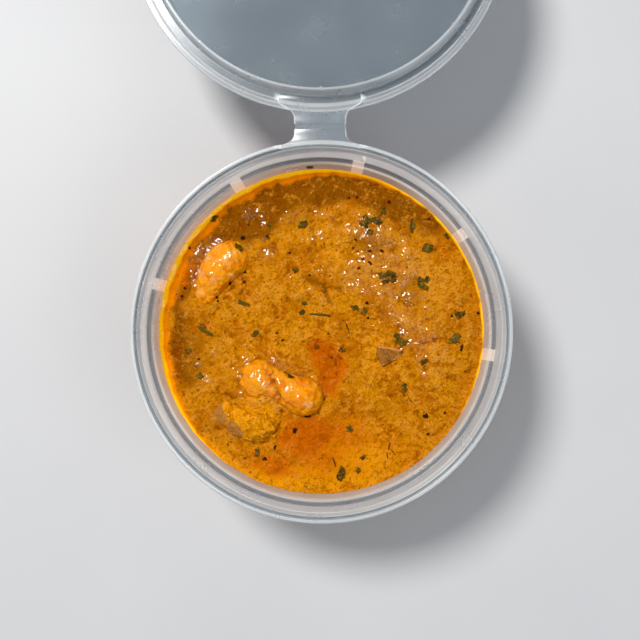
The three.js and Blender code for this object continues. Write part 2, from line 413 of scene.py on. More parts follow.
class Graph:
    """The node tree of one material."""

    def __init__(self, name: str) -> None:
        """Starts an empty material with this name."""
        self.material = bpy.data.materials.new(name)
        self.material.use_nodes = True
        self.tree = self.material.node_tree
        self.tree.nodes.clear()

    def node(self, kind: str, settings: dict | None = None,
             inputs: dict | None = None) -> bpy.types.Node:
        """Adds a node.

        Args:
            kind: the node's type.
            settings: properties, set first.
            inputs: sockets by name or number, with a value, a Link or a node's socket.

        Returns:
            The node.
        """
        made = self.tree.nodes.new(kind)
        for key, value in (settings or {}).items():
            setattr(made, key, value)
        for key, value in (inputs or {}).items():
            if isinstance(value, Link):
                self.tree.links.new(value.socket, made.inputs[key])
            elif isinstance(value, bpy.types.NodeSocket):
                self.tree.links.new(value, made.inputs[key])
            else:
                made.inputs[key].default_value = value
        return made

    def place(self) -> bpy.types.NodeSocket:
        """Object coordinates."""
        return self.node("ShaderNodeTexCoord").outputs["Object"]

    def noise(self, scale: float, detail: float = 3.0, roughness: float = 0.55,
              distortion: float = 0.0) -> Link:
        """Cloudy noise in Object coordinates.

        Args:
            scale: how many features fit in a metre.
            detail: octaves.
            roughness: strength of the finer octaves.
            distortion: how much the pattern is twisted.

        Returns:
            The noise, from 0 to 1 around 0.5.
        """
        made = self.node("ShaderNodeTexNoise", None, {
            "Vector": self.place(), "Scale": scale, "Detail": detail,
            "Roughness": roughness, "Distortion": distortion})
        return Link(self, made.outputs["Fac"])

    def between(self, value: Link, low: float, high: float, to_low: float = 0.0,
                to_high: float = 1.0) -> Link:
        """Eases a value from one range to another and stops at its ends.

        Args:
            value: what is mapped.
            low: start of the range.
            high: end of the range.
            to_low: result at the start.
            to_high: result at the end.

        Returns:
            The mapped value.
        """
        made = self.node("ShaderNodeMapRange", {"interpolation_type": "SMOOTHSTEP"}, {
            "Value": value, "From Min": low, "From Max": high, "To Min": to_low,
            "To Max": to_high})
        return Link(self, made.outputs["Result"])

    def attribute(self, name: str) -> Link:
        """A value stored at the mesh's points."""
        made = self.node("ShaderNodeAttribute", {"attribute_name": name})
        return Link(self, made.outputs["Fac"])

    def along(self, direction: Spot) -> Link:
        """How far a point lies from the origin in one direction, in metres."""
        made = self.node("ShaderNodeVectorMath", {"operation": "DOT_PRODUCT"}, {
            0: self.place(), 1: direction})
        return Link(self, made.outputs["Value"])

    def radius(self, centre: Pair) -> Link:
        """Distance from a vertical axis, in metres.

        Args:
            centre: the axis' x and y, in millimetres.
        """
        shifted = self.node("ShaderNodeVectorMath", {"operation": "SUBTRACT"}, {
            0: self.place(), 1: (centre[0] * MM, centre[1] * MM, 0)})
        flat = self.node("ShaderNodeVectorMath", {"operation": "MULTIPLY"}, {
            0: shifted.outputs[0], 1: (1, 1, 0)})
        length = self.node("ShaderNodeVectorMath", {"operation": "LENGTH"}, {
            0: flat.outputs[0]})
        return Link(self, length.outputs["Value"])

    def rings(self, centre: Pair, stops: Sequence[tuple[float, Colour]]) -> Link:
        """Colour that changes with the distance from a vertical axis.

        Args:
            centre: the axis' x and y, in millimetres.
            stops: radius in millimetres and colour, from the inside out.

        Returns:
            The colour.
        """
        first, last = stops[0][0], stops[-1][0]
        across = (self.radius(centre) - first * MM) * (1 / ((last - first) * MM))
        made = self.node("ShaderNodeValToRGB", None, {"Fac": across})
        ramp = made.color_ramp.elements
        while len(ramp) < len(stops):
            ramp.new(0.5)
        for element, (radius, colour) in zip(ramp, stops):
            element.position = (radius - first) / (last - first)
            element.color = (*colour, 1.0)
        return Link(self, made.outputs["Color"])

    def mixed(self, factor: Link | float, first: "Link | Colour",
              second: "Link | Colour") -> Link:
        """Mixes two colours.

        Args:
            factor: 0 for the first, 1 for the second.
            first: a colour or a Link to one.
            second: a colour or a Link to one.

        Returns:
            The mixed colour.
        """
        sides = [s if isinstance(s, Link) else (*s, 1.0) for s in (first, second)]
        made = self.node("ShaderNodeMix", {"data_type": "RGBA"},
                         {0: factor, 6: sides[0], 7: sides[1]})
        return Link(self, made.outputs[2])

    def laid(self, under: "Link | Colour", over: "Link | Colour", value: Link, low: float,
             high: float, share: Link | float = 1.0) -> Link:
        """Lays one colour over another where a value says so.

        Args:
            under: the colour below.
            over: the colour on top.
            value: what decides where the top one shows.
            low: the value at which it starts to show.
            high: the value at which it shows fully.
            share: how much of it shows there.

        Returns:
            The colour.
        """
        return self.mixed(self.between(value, low, high) * share, under, over)

    def bump(self, height: Link, depth: float) -> Link:
        """Surface relief finer than the mesh.

        Args:
            height: the relief, from 0 to 1.
            depth: what 1 stands for, in millimetres.

        Returns:
            The changed normal.
        """
        made = self.node("ShaderNodeBump", None, {"Height": height, "Distance": depth * MM})
        return Link(self, made.outputs["Normal"])

    def principled(self, **inputs: object) -> bpy.types.Material:
        """Ends the graph in a Principled shader.

        Args:
            inputs: its sockets, with underscores for spaces.

        Returns:
            The material.
        """
        sockets = {key.replace("_", " "): value for key, value in inputs.items()}
        for key, value in sockets.items():
            if isinstance(value, tuple) and len(value) == 3:
                sockets[key] = (*value, 1.0)
        shader = self.node("ShaderNodeBsdfPrincipled", None, sockets)
        self.node("ShaderNodeOutputMaterial", None, {"Surface": shader.outputs[0]})
        return self.material


# ---------------------------------------------------------------------------------------------
# Finishes
# ---------------------------------------------------------------------------------------------


@dataclass(frozen=True)
class MilkyPlastic:
    """Polypropylene that lets light through: thin flat parts look grey, thick edges white; these
    grey bands and white lines are painted shade and painted highlights, set by radius.

    Args:
        centre: the axis of the rings, in millimetres.
        rings: painted light and shade at each radius, in millimetres: dark bands of painted shade,
            near-white lines of painted highlight and a warm band of painted reflection of the
            curry.
        ribs: directions in which ribs shine through the wall, painted brighter and glowing there,
            in degrees.
        rib_half_width: half a rib's width, in millimetres.
        rib_outside: radius at which the ribs end, in millimetres.
        rib_foot: height at which they start, in millimetres.
        scuffed: how strongly scuffs show.
        filled: height up to which the curry's orange light is painted onto the wall, in
            millimetres.
    """

    centre: Pair
    rings: tuple[tuple[float, Colour], ...]
    ribs: tuple[float, ...] = ()
    rib_half_width: float = 1.8
    rib_outside: float = 53.35
    rib_foot: float = 29.0
    # Painted highlight and glow where a rib shows through the wall.
    rib_light_tint: Colour = (1.0, 0.92, 0.82)
    rib_glow: Colour = (0.17, 0.16, 0.15)
    scuffed: float = 0.0
    filled: float = -10.0
    # Painted orange light of the curry seen through the wall.
    curry_light_through: Colour = (0.80, 0.43, 0.11)
    transmission: float = 0.66
    roughness: float = 0.2
    haze: Colour = (0.30, 0.33, 0.36)
    scuff: Colour = (0.92, 0.94, 0.95)
    # Painted glow along the strap's long edges.
    edge_glow: Colour = (0.30, 0.31, 0.32)

    def shine_through(self, graph: Graph) -> Link:
        """Where a rib stands behind the wall, from 0 to 1: where the wall gets a painted highlight
        and emission.
        """
        blur = 0.1
        near, far = (self.rib_half_width - blur) * MM, (self.rib_half_width + blur) * MM
        reach = graph.radius(self.centre)
        found = graph.between(reach, 1, 2)
        for angle in self.ribs:
            turn = math.radians(angle)
            ahead = graph.along((math.cos(turn), math.sin(turn), 0))
            aside = graph.along((-math.sin(turn), math.cos(turn), 0))
            found = found + graph.between(aside, far, near) * graph.between(aside, -far, -near) \
                * graph.between(ahead, 0.02, 0.03)
        band = graph.between(reach, (self.rib_outside + blur) * MM,
                             (self.rib_outside - blur) * MM)
        return found * band * graph.between(graph.along(UP), (self.rib_foot - 2 * blur) * MM,
                                            (self.rib_foot + 2 * blur) * MM)

    def make(self, name: str) -> bpy.types.Material:
        """Builds the material."""
        graph = Graph(name)
        flow = graph.noise(70, 3, 0.5, 0.3)
        scuffs = graph.noise(900, 2, 0.7, 2.5)
        # Painted shade and painted highlights by radius, with random haze over them.
        tint_and_light = graph.laid(graph.rings(self.centre, self.rings), self.haze, flow, 0.3, 0.7, 0.12)
        # Painted highlight along the strap's long edges: whiter and glowing where marked as edge.
        glow = graph.mixed(graph.attribute("edge"), (0, 0, 0), self.edge_glow)
        tint_and_light = graph.mixed(graph.attribute("edge") * 0.8, tint_and_light, (1, 1, 1))
        if self.ribs:
            found = self.shine_through(graph)
            # Painted highlight and glow on the wall in front of each rib.
            tint_and_light = graph.mixed(found * 0.9, tint_and_light, self.rib_light_tint)
            glow = graph.mixed(found, glow, self.rib_glow)
        tint_and_light = graph.laid(tint_and_light, self.scuff, scuffs * flow, 0.40, 0.46, self.scuffed)
        # Painted orange light of the curry seen through the wall, up to the sauce's top.
        up = graph.along(UP) + (flow - 0.5) * 1.5 * MM
        tint_and_light = graph.laid(tint_and_light, self.curry_light_through, up, self.filled * MM, (self.filled - 0.8) * MM,
                          graph.between(flow, 0.3, 0.7, 0.8, 0.95))
        return graph.principled(
            Base_Color=tint_and_light, IOR=1.49, Transmission_Weight=self.transmission,
            Roughness=graph.between(flow, 0.3, 0.7, self.roughness, self.roughness + 0.08),
            Emission_Color=glow, Emission_Strength=1.0, Normal=graph.bump(flow, 0.006))


@dataclass(frozen=True)
class SauceColours:
    """Colours of the sauce, from the deep orange of its body to the cream that rises in it."""

    body: Colour = seen(192, 112, 4)
    deep: Colour = seen(132, 62, 1)
    golden: Colour = seen(214, 136, 8)
    cream: Colour = seen(226, 152, 46)
    # Darker sauce, also laid on as painted shade where the wall shades the sauce at the top and the
    # left.
    olive_and_shade: Colour = seen(113, 58, 2)
    bright: Colour = seen(244, 158, 2)
    oily: Colour = seen(206, 95, 0)
    # Rim line and shore: oil painted brighter, with painted emission, for light that comes through
    # the wall.
    rim: Colour = seen(254, 184, 6)
    shore: Colour = seen(238, 128, 0)
    bare: Colour = seen(170, 108, 44)
    shore_glow: Colour = seen(180, 90, 0)
    # Painted shade in the creases.
    crease: Colour = seen(146, 66, 0)
    speck: Colour = seen(52, 20, 2)

    def over(self, graph: Graph, marks: bool) -> Link:
        """Mottles the sauce's colours.

        Args:
            graph: the material's graph.
            marks: whether the piece carries the sauce's marks at its points.

        Returns:
            The colour.
        """
        blotch = graph.noise(130, 3, 0.6, 0.5)
        mottle = graph.noise(430, 3, 0.6, 0.8)
        grain = graph.noise(1300, 3, 0.7, 0.6)
        colour = graph.laid(self.body, self.golden, blotch, 0.40, 0.58)
        if marks:
            high = graph.attribute("high") + (mottle - 0.5) * 0.5
            # Painted shade in the hollows and a painted highlight of cream on the crests, by the
            # relief's height.
            colour = graph.laid(colour, self.deep, high, 0.44, 0.08, 0.75)
            colour = graph.laid(colour, self.cream, high, 0.58, 0.95, 0.5)
            wobble = (blotch - 0.5) * 0.8 + (mottle - 0.5) * 1.5 + (grain - 0.5) * 0.7
            # The olive patches are darker sauce and painted shade of the wall.
            for name, share in (("olive_and_shade", 0.82), ("bright", 0.85), ("cream", 0.65),
                                ("oily", 0.9), ("bare", 0.9)):
                colour = graph.laid(colour, getattr(self, name), graph.attribute(name) + wobble,
                                    0.15, 0.95, share)
            rough = graph.between(graph.attribute("oily"), 0.3, 0.8, 1.0, 0.5)
            creamy = graph.between(graph.attribute("olive_and_shade"), 0.2, 0.8, 1.0, 0.5) * rough
        else:
            colour = graph.laid(colour, self.bright, mottle, 0.35, 0.65)
            rough = creamy = 1.0
        colour = graph.laid(colour, self.deep, mottle, 0.50, 0.30, 0.4)
        colour = graph.laid(colour, self.cream, (mottle + grain) * 0.5, 0.50, 0.64, creamy * 0.75)
        colour = graph.laid(colour, self.cream, mottle, 0.46, 0.58,
                            self.strands(graph, 260) * creamy * 0.6)
        colour = graph.laid(colour, self.deep, blotch, 0.46, 0.58,
                            self.strands(graph, 340) * rough * 0.75)
        colour = graph.laid(colour, self.deep, grain, 0.46, 0.32, rough * 0.75)
        if marks:
            # Painted shade in the creases; painted light on the shore and the rim line, oil lit
            # through the wall.
            for name, share, sway, start in (("crease", 0.8, 1.4, 0.3), ("shore", 0.9, 0.6, 0.0),
                                             ("rim", 0.95, 0.4, 0.1)):
                colour = graph.laid(colour, getattr(self, name), graph.attribute(name)
                                    + (grain - 0.5) * sway, start, 1 - start, share)
        return graph.laid(colour, self.speck, grain, 0.33, 0.29, rough * 0.8)

    @staticmethod
    def strands(graph: Graph, scale: float, width: float = 0.025) -> Link:
        """Thin curved lines, 1 on a line and 0 beside it; scale is how many fit in a metre."""
        field_value = graph.noise(scale, 2, 0.5, 1.4)
        away = (field_value - 0.5).atleast(0.5 - field_value)
        return graph.between(away, width, 0.0)


@dataclass(frozen=True)
class Sauce:
    """Thick, slightly grainy curry sauce, wet where oil stands on it."""

    colours: SauceColours = field(default_factory=SauceColours)

    def make(self, name: str) -> bpy.types.Material:
        """Builds the material."""
        graph = Graph(name)
        wet = graph.attribute("wet")
        lumps = graph.noise(420, 2, 0.6, 0.6)
        grain = graph.noise(1150, 2, 0.6, 0.4)
        # Painted glow of the shore and the rim line, for light that comes through the wall.
        glow = graph.mixed(graph.attribute("shore"), (0, 0, 0), self.colours.shore_glow)
        glow = graph.mixed(graph.attribute("rim"), glow, self.colours.rim)
        return graph.principled(
            Base_Color=self.colours.over(graph, True), Roughness=graph.between(
                wet + (lumps - 0.5) * 0.4, 0.0, 0.9, 0.5, 0.3),
            Specular_IOR_Level=0.0, Coat_Roughness=0.06, Coat_IOR=1.45,
            Coat_Weight=graph.between(wet + (lumps - 0.5) * 1.4, 0.4, 0.6, 0.0, 1.0),
            Emission_Color=glow, Emission_Strength=0.55,
            Normal=graph.bump(lumps * 0.62 + grain * 0.38, 0.9))


@dataclass(frozen=True)
class Flesh:
    """Cooked shrimp: orange, with sauce on it, pale in spots that are partly pale flesh and partly
    a painted sheen where light catches it.
    """

    colours: SauceColours = field(default_factory=SauceColours)
    orange: Colour = seen(250, 158, 8)
    ruddy: Colour = seen(236, 130, 2)
    pale: Colour = seen(242, 182, 108)
    bare_light: Colour = seen(178, 122, 58)

    def make(self, name: str) -> bpy.types.Material:
        """Builds the material."""
        graph = Graph(name)
        soft = graph.noise(300, 3, 0.55, 0.5)
        fine = graph.noise(1100, 3, 0.65, 0.5)
        flesh = graph.laid(self.orange, self.ruddy, soft, 0.52, 0.40)
        flesh = graph.laid(flesh, self.pale, fine, 0.54, 0.64, 0.12)
        flesh = graph.laid(flesh, self.ruddy, fine, 0.44, 0.34, 0.6)
        # Pale flesh with a painted sheen where light catches it, in a network of lines.
        flesh = graph.laid(flesh, self.pale, graph.attribute("pale") + (fine - 0.5) * 1.2, 0.3,
                           0.9, 0.3 + 0.7 * SauceColours.strands(graph, 420, 0.07))
        coat = graph.between(graph.attribute("coat") + (fine - 0.5) * 0.9 + (soft - 0.5) * 0.6,
                             0.25, 0.75)
        colour = graph.mixed(coat, flesh, self.colours.over(graph, False))
        bare = graph.laid(self.colours.bare, self.bare_light, fine, 0.40, 0.60)
        colour = graph.laid(colour, bare, graph.attribute("bare") + (fine - 0.5) * 0.9
                            + (soft - 0.5) * 0.9, 0.34, 0.5, 0.9)
        return graph.principled(
            Base_Color=colour, Roughness=graph.between(coat, 0, 1, 0.36, 0.5),
            Specular_IOR_Level=0.0, Coat_Roughness=0.04, Coat_IOR=1.45,
            Coat_Weight=graph.between(graph.attribute("wet") + (fine - 0.5), 0.25, 0.45),
            Normal=graph.bump(graph.noise(560, 2, 0.45) * 0.85 + fine * 0.15, 0.8))


@dataclass(frozen=True)
class OnionFlesh:
    """Softened onion, brown from the sauce, paler along its cut edges."""

    body: Colour = seen(158, 100, 30)
    dark: Colour = seen(118, 68, 12)
    edge: Colour = seen(206, 134, 60)

    def make(self, name: str) -> bpy.types.Material:
        """Builds the material."""
        graph = Graph(name)
        soft = graph.noise(420, 3, 0.6, 0.6)
        fine = graph.noise(1900, 2, 0.5)
        colour = graph.laid(self.body, self.dark, soft, 0.6, 0.35)
        colour = graph.mixed(SauceColours.strands(graph, 500) * 0.5, colour, self.edge)
        colour = graph.laid(colour, self.edge, graph.attribute("edge") + (soft - 0.5) * 1.6
                            + (fine - 0.5), 0.35, 0.8)
        return graph.principled(
            Base_Color=colour, Roughness=graph.between(fine, 0.3, 0.7, 0.34, 0.46),
            Specular_IOR_Level=0.06, Coat_Weight=0.15, Coat_Roughness=0.12,
            Normal=graph.bump(soft, 0.1))


@dataclass(frozen=True)
class Oil:
    """Clear orange oil."""

    colour: Colour = seen(214, 104, 0)
    dark: Colour = seen(150, 60, 0)
    alpha: float = 0.12

    def make(self, name: str) -> bpy.types.Material:
        """Builds the material."""
        graph = Graph(name)
        drift = graph.noise(260, 3, 0.5, 0.4)
        colour = graph.laid(self.colour, self.dark, drift, 0.35, 0.65)
        return graph.principled(
            Base_Color=colour, Roughness=graph.between(drift, 0.35, 0.65, 0.1, 0.16), IOR=1.45,
            Specular_IOR_Level=0.0, Coat_Weight=0.1, Alpha=self.alpha,
            Normal=graph.bump(drift, 0.1))


@dataclass(frozen=True)
class Leaf:
    """Chopped herb, green to olive."""

    fresh: Colour = seen(74, 66, 8)
    dull: Colour = seen(48, 34, 8)
    worn: Colour = seen(116, 96, 22)
    sauced: Colour = seen(176, 106, 12)

    def make(self, name: str) -> bpy.types.Material:
        """Builds the material."""
        graph = Graph(name)
        patch = graph.noise(260, 2, 0.5)
        fine = graph.noise(2600, 2, 0.5)
        colour = graph.laid(self.fresh, self.dull, patch, 0.42, 0.58)
        colour = graph.laid(colour, self.worn, fine, 0.46, 0.62, 0.7)
        colour = graph.laid(colour, self.sauced, graph.noise(900, 2, 0.6), 0.52, 0.62, 0.5)
        return graph.principled(
            Base_Color=colour, Roughness=graph.between(fine, 0.3, 0.7, 0.36, 0.55),
            Specular_IOR_Level=0.05, Normal=graph.bump(fine, 0.08))


@dataclass(frozen=True)
class Spice:
    """Dark seeds and flakes, black to red-brown."""

    black: Colour = seen(44, 22, 4)
    red: Colour = seen(108, 34, 2)

    def make(self, name: str) -> bpy.types.Material:
        """Builds the material."""
        graph = Graph(name)
        patch = graph.noise(210, 1, 0.5)
        fine = graph.noise(3200, 2, 0.5)
        colour = graph.laid(self.black, self.red, patch, 0.46, 0.60)
        return graph.principled(
            Base_Color=colour, Roughness=graph.between(fine, 0.3, 0.7, 0.4, 0.6),
            Specular_IOR_Level=0.05, Normal=graph.bump(fine, 0.04))


# ---------------------------------------------------------------------------------------------
# Stage
# ---------------------------------------------------------------------------------------------


@dataclass
class Studio:
    """Floor, light and the camera that looks straight down."""

    camera_height: float = 305.0
    rim_height: float = 45.0
    frame_width: float = 193.3
    centre: Pair = (-0.42, 3.62)
    roll: float = -0.37
    sensor: float = 36.0
    picture: int = 640

    def spot(self, across: float, down: float, height: float) -> Pair:
        """Finds the place under a pixel of the picture.

        Args:
            across: pixels from the picture's left edge.
            down: pixels from its top edge.
            height: height of the surface that is hit, in millimetres.

        Returns:
            Its x and y, in millimetres.
        """
        distance = self.camera_height - self.rim_height
        size = self.frame_width / self.picture * (self.camera_height - height) / distance
        right, up = (across - self.picture / 2) * size, (self.picture / 2 - down) * size
        turn = math.radians(self.roll)
        return (self.centre[0] + right * math.cos(turn) - up * math.sin(turn),
                self.centre[1] + right * math.sin(turn) + up * math.cos(turn))

    def floor(self) -> None:
        """Lays the pale floor."""
        Bench.deselect()
        bpy.ops.mesh.primitive_plane_add(size=6.0, location=(0, 0, 0))
        floor = Bench.named("floor")
        graph = Graph("floor_paint")
        faint = graph.noise(9, 3, 0.5)
        colour = graph.laid(paint(188, 189, 192), paint(192, 193, 195), faint, 0.3, 0.7)
        floor.data.materials.append(graph.principled(Base_Color=colour, Roughness=0.6))

    def light(self, name: str, place: Sequence[float], size: float, power: float,
              colour: Colour) -> None:
        """Hangs a round soft light that is aimed at the tub.

        Args:
            name: its name.
            place: where it hangs, in metres.
            size: its diameter, in metres.
            power: in watts.
            colour: its colour.
        """
        Bench.deselect()
        bpy.ops.object.light_add(type="AREA", location=place)
        lamp = bpy.context.object
        lamp.name = name
        lamp.data.shape = "DISK"
        lamp.data.size = size
        lamp.data.energy = power
        lamp.data.color = colour
        aim = Vector((0, 0.02, 0.03)) - Vector(place)
        lamp.rotation_euler = aim.to_track_quat("-Z", "Y").to_euler()

    def build(self) -> None:
        """Makes all of the stage."""
        self.floor()
        self.light("window", (-0.42, 0.48, 0.95), 0.32, 14.0, (1.0, 0.98, 0.95))
        self.light("fill", (0.8, -0.55, 0.9), 0.9, 5.0, (0.95, 0.97, 1.0))
        world = bpy.data.worlds.new("room")
        world.use_nodes = True
        background = world.node_tree.nodes["Background"]
        background.inputs["Color"].default_value = (0.92, 0.96, 1.0, 1)
        background.inputs["Strength"].default_value = 0.32
        bpy.context.scene.world = world
        Bench.deselect()
        bpy.ops.object.camera_add(
            location=Vector((*self.centre, self.camera_height)) * MM,
            rotation=(0, 0, math.radians(self.roll)))
        camera = bpy.context.object
        camera.data.sensor_width = self.sensor
        distance = self.camera_height - self.rim_height
        camera.data.lens = self.sensor * distance / self.frame_width
        camera.data.clip_start = 0.01
        camera.data.clip_end = 20.0
        bpy.context.scene.camera = camera
        bpy.context.scene.view_settings.view_transform = "Standard"


# ---------------------------------------------------------------------------------------------
# Tub, lid and hinge strip
# ---------------------------------------------------------------------------------------------


@dataclass(frozen=True)
class Strap:
    """One half of the hinge strap, drawn from the groove to the rim that it grows from.

    Args:
        edge_y: its edge at the groove.
        straight_y: where it starts to flare.
        root: half width and y where the flare meets the rim.
        back_y: how far it runs on under the rim.
    """

    edge_y: float
    straight_y: float
    root: Pair
    back_y: float
    half_width: float = 7.9
    groove_half_width: float = 7.5
    notch: float = 0.5
    flare_steps: int = 7

    def sections(self) -> list[Pair]:
        """Half width and y of each cross section."""
        towards = math.copysign(1.0, self.back_y - self.edge_y)
        found = [(self.groove_half_width, self.edge_y),
                 (self.half_width, self.edge_y + towards * self.notch)]
        control_y = (self.straight_y + 2 * self.root[1]) / 3
        for step in range(self.flare_steps + 1):
            t = step / self.flare_steps
            near, mid, far = (1 - t) ** 2, 2 * t * (1 - t), t ** 2
            found.append(((near + mid) * self.half_width + far * self.root[0],
                          near * self.straight_y + mid * control_y + far * self.root[1]))
        return [*found, (self.root[0], self.back_y)]

    def edge_mark(self, points: np.ndarray) -> np.ndarray:
        """Which points (in millimetres) lie on the strap's long edges, which get a painted
        highlight.
        """
        found = sorted(self.sections(), key=lambda section: section[1])
        half = np.interp(points[:, 1], [y for _, y in found], [half for half, _ in found])
        inside = (points[:, 1] > found[0][1] - 0.05) & (points[:, 1] < found[-1][1])
        return inside & (np.abs(points[:, 0]) > half - 0.12) \
            & (np.abs(points[:, 0]) < half + 0.12) & (points[:, 2] > 42.0)

    def build(self, name: str, bottom: float, top: float, worn: float) -> bpy.types.Object:
        """Extrudes the strap section by section.

        Args:
            name: the piece's name.
            bottom: height of its underside.
            top: height of its top.
            worn: width of the bevel on its edges.

        Returns:
            The strap.
        """
        sections = self.sections()
        half, y = sections[0]
        Bench.deselect()
        bpy.ops.mesh.primitive_plane_add(size=1, location=Vector((0, y, (bottom + top) / 2)) * MM,
                                         rotation=(math.pi / 2, 0, 0))
        piece = Bench.named(name)
        piece.scale = (2 * half * MM, (top - bottom) * MM, 1)
        bpy.ops.object.transform_apply(location=True, rotation=True, scale=True)
        with Bench.editing():
            for (here, y), (there, next_y) in pairwise(sections):
                bpy.ops.mesh.extrude_region_move(
                    TRANSFORM_OT_translate={"value": (0, (next_y - y) * MM, 0)})
                bpy.ops.transform.resize(value=(there / here, 1, 1), center_override=(0, 0, 0))
            Bench.face_outward()
        Bench.modify(piece, "BEVEL", width=worn * MM, segments=2, limit_method="ANGLE",
                     angle_limit=math.radians(50))
        return piece


@dataclass
class Tub:
    """The round tub with its stepped rim, stacking ribs and its half of the hinge strap."""

    segments: int = 192
    wall: float = 0.9
    floor: float = 1.0
    floor_radius: float = 45.6
    mouth_radius: float = 51.8
    mouth_height: float = 39.4
    tread_height: float = 42.0
    flange_height: float = 44.0
    height: float = 45.0
    rim_radius: float = 58.0
    lip_width: float = 1.2
    rib_angles: tuple[float, ...] = (-8.2, 34.3, 77.2, 119.4, 163.5)
    rib_width: float = 3.6
    rib_reach: float = 53.5
    rib_bottom: float = 29.0
    nibs: tuple[Row, ...] = (
        (38.5, 56.0, 56.9, 44.0), (76.5, 53.7, 55.2, 42.0), (164.0, 53.4, 55.2, 42.0))
    shape: Strap = Strap(edge_y=61.9, straight_y=60.2, root=(13.2, 56.4), back_y=50.0)

    def wall_radius(self, z: float) -> float:
        """Inside radius of the sloping wall at a height."""
        rise = (z - self.floor) / (self.mouth_height - self.floor)
        return self.floor_radius + rise * (self.mouth_radius - self.floor_radius)

    def corners(self) -> list[Corner]:
        """The outline: underside, outer wall, rim, inner wall and floor."""
        wall = self.wall
        first, second, flange = self.mouth_height, self.tread_height, self.flange_height
        return [
            Corner(0, 0), Corner(36.0, 0, 0.1), Corner(36.4, 0.4, 0.1), Corner(38.6, 0.4, 0.1),
            Corner(39.0, 0, 0.1), Corner(self.wall_radius(0) + wall, 0, 2.0),
            Corner(self.wall_radius(first - wall) + wall, first - wall, 0.2),
            Corner(52.7 + wall, first - wall, 0.2), Corner(53.15 + wall, second - wall, 0.3),
            Corner(55.3 + wall, second - wall, 0.2), Corner(55.9 + wall, flange - wall, 0.2),
            Corner(self.rim_radius, flange - wall, 0.25), Corner(self.rim_radius, self.height, 0.4),
            Corner(self.rim_radius - self.lip_width, self.height, 0.35),
            Corner(56.8, flange, 0.15), Corner(55.9, flange, 0.35), Corner(55.3, second, 0.2),
            Corner(53.15, second, 0.35), Corner(52.7, first, 0.15),
            Corner(self.mouth_radius, first, 0.35), Corner(self.floor_radius, self.floor, 2.0),
            Corner(0, self.floor),
        ]

    def rib(self, angle: float) -> bpy.types.Object:
        """One stacking rib on the outside of the wall, under the rim."""
        top = self.mouth_height - self.wall / 2
        root = self.wall_radius(self.rib_bottom) + self.wall / 2
        rise = self.wall_radius(top) - self.wall_radius(self.rib_bottom)
        block = Bench.block(
            f"rib_{angle}", (self.rib_reach - root, self.rib_width, top - self.rib_bottom),
            ((root + self.rib_reach) / 2, 0, (top + self.rib_bottom) / 2))
        points = Bench.points(block) / MM
        with Bench.editing():
            Bench.pick(block, (points[:, 2] > top - 1)
                       & (points[:, 0] < (root + self.rib_reach) / 2))
            bpy.ops.transform.translate(value=(rise * MM, 0, 0))
        block.rotation_euler = (0, 0, math.radians(angle))
        bpy.ops.object.transform_apply(location=True, rotation=True, scale=True)
        return block

    def strap(self) -> bpy.types.Object:
        """The tub's half of the strap, cut to the round of the rim."""
        strap = self.shape.build("tub_strap", self.flange_height - self.wall,
                                 self.flange_height + 0.01, 0.3)
        inside = Bench.turned("inside", [Corner(0, 40), Corner(56.95, 40), Corner(56.95, 48),
                                         Corner(0, 48)], self.segments)
        Bench.combine(strap, inside, Cut.DIFFERENCE)
        return strap

    def build(self, finish: bpy.types.Material) -> None:
        """Makes the tub."""
        shell = Bench.turned("tub_shell", self.corners(), self.segments)
        gap = Bench.block("gap", (23.6, 10, 1.5), (0, 55, self.flange_height + 0.75),
                          top=(13.2 / 11.8, 1))
        Bench.combine(shell, gap, Cut.DIFFERENCE)
        extras = [self.strap(), *(self.rib(angle) for angle in self.rib_angles)]
        for angle, inner, outer, height in self.nibs:
            extras.append(Bench.block(
                f"nib_{angle}", (outer - inner, 0.45, 0.9), ((inner + outer) / 2, 0, height),
                turn=angle, worn=0.08))
        Bench.combine(shell, Bench.join("extras", extras), Cut.UNION)
        Bench.settle(shell)
        Bench.mark(shell, "edge", self.shape.edge_mark(Bench.points(shell) / MM))
        Bench.declare(shell, TUB_BODY, "milky_plastic", finish, "tub")


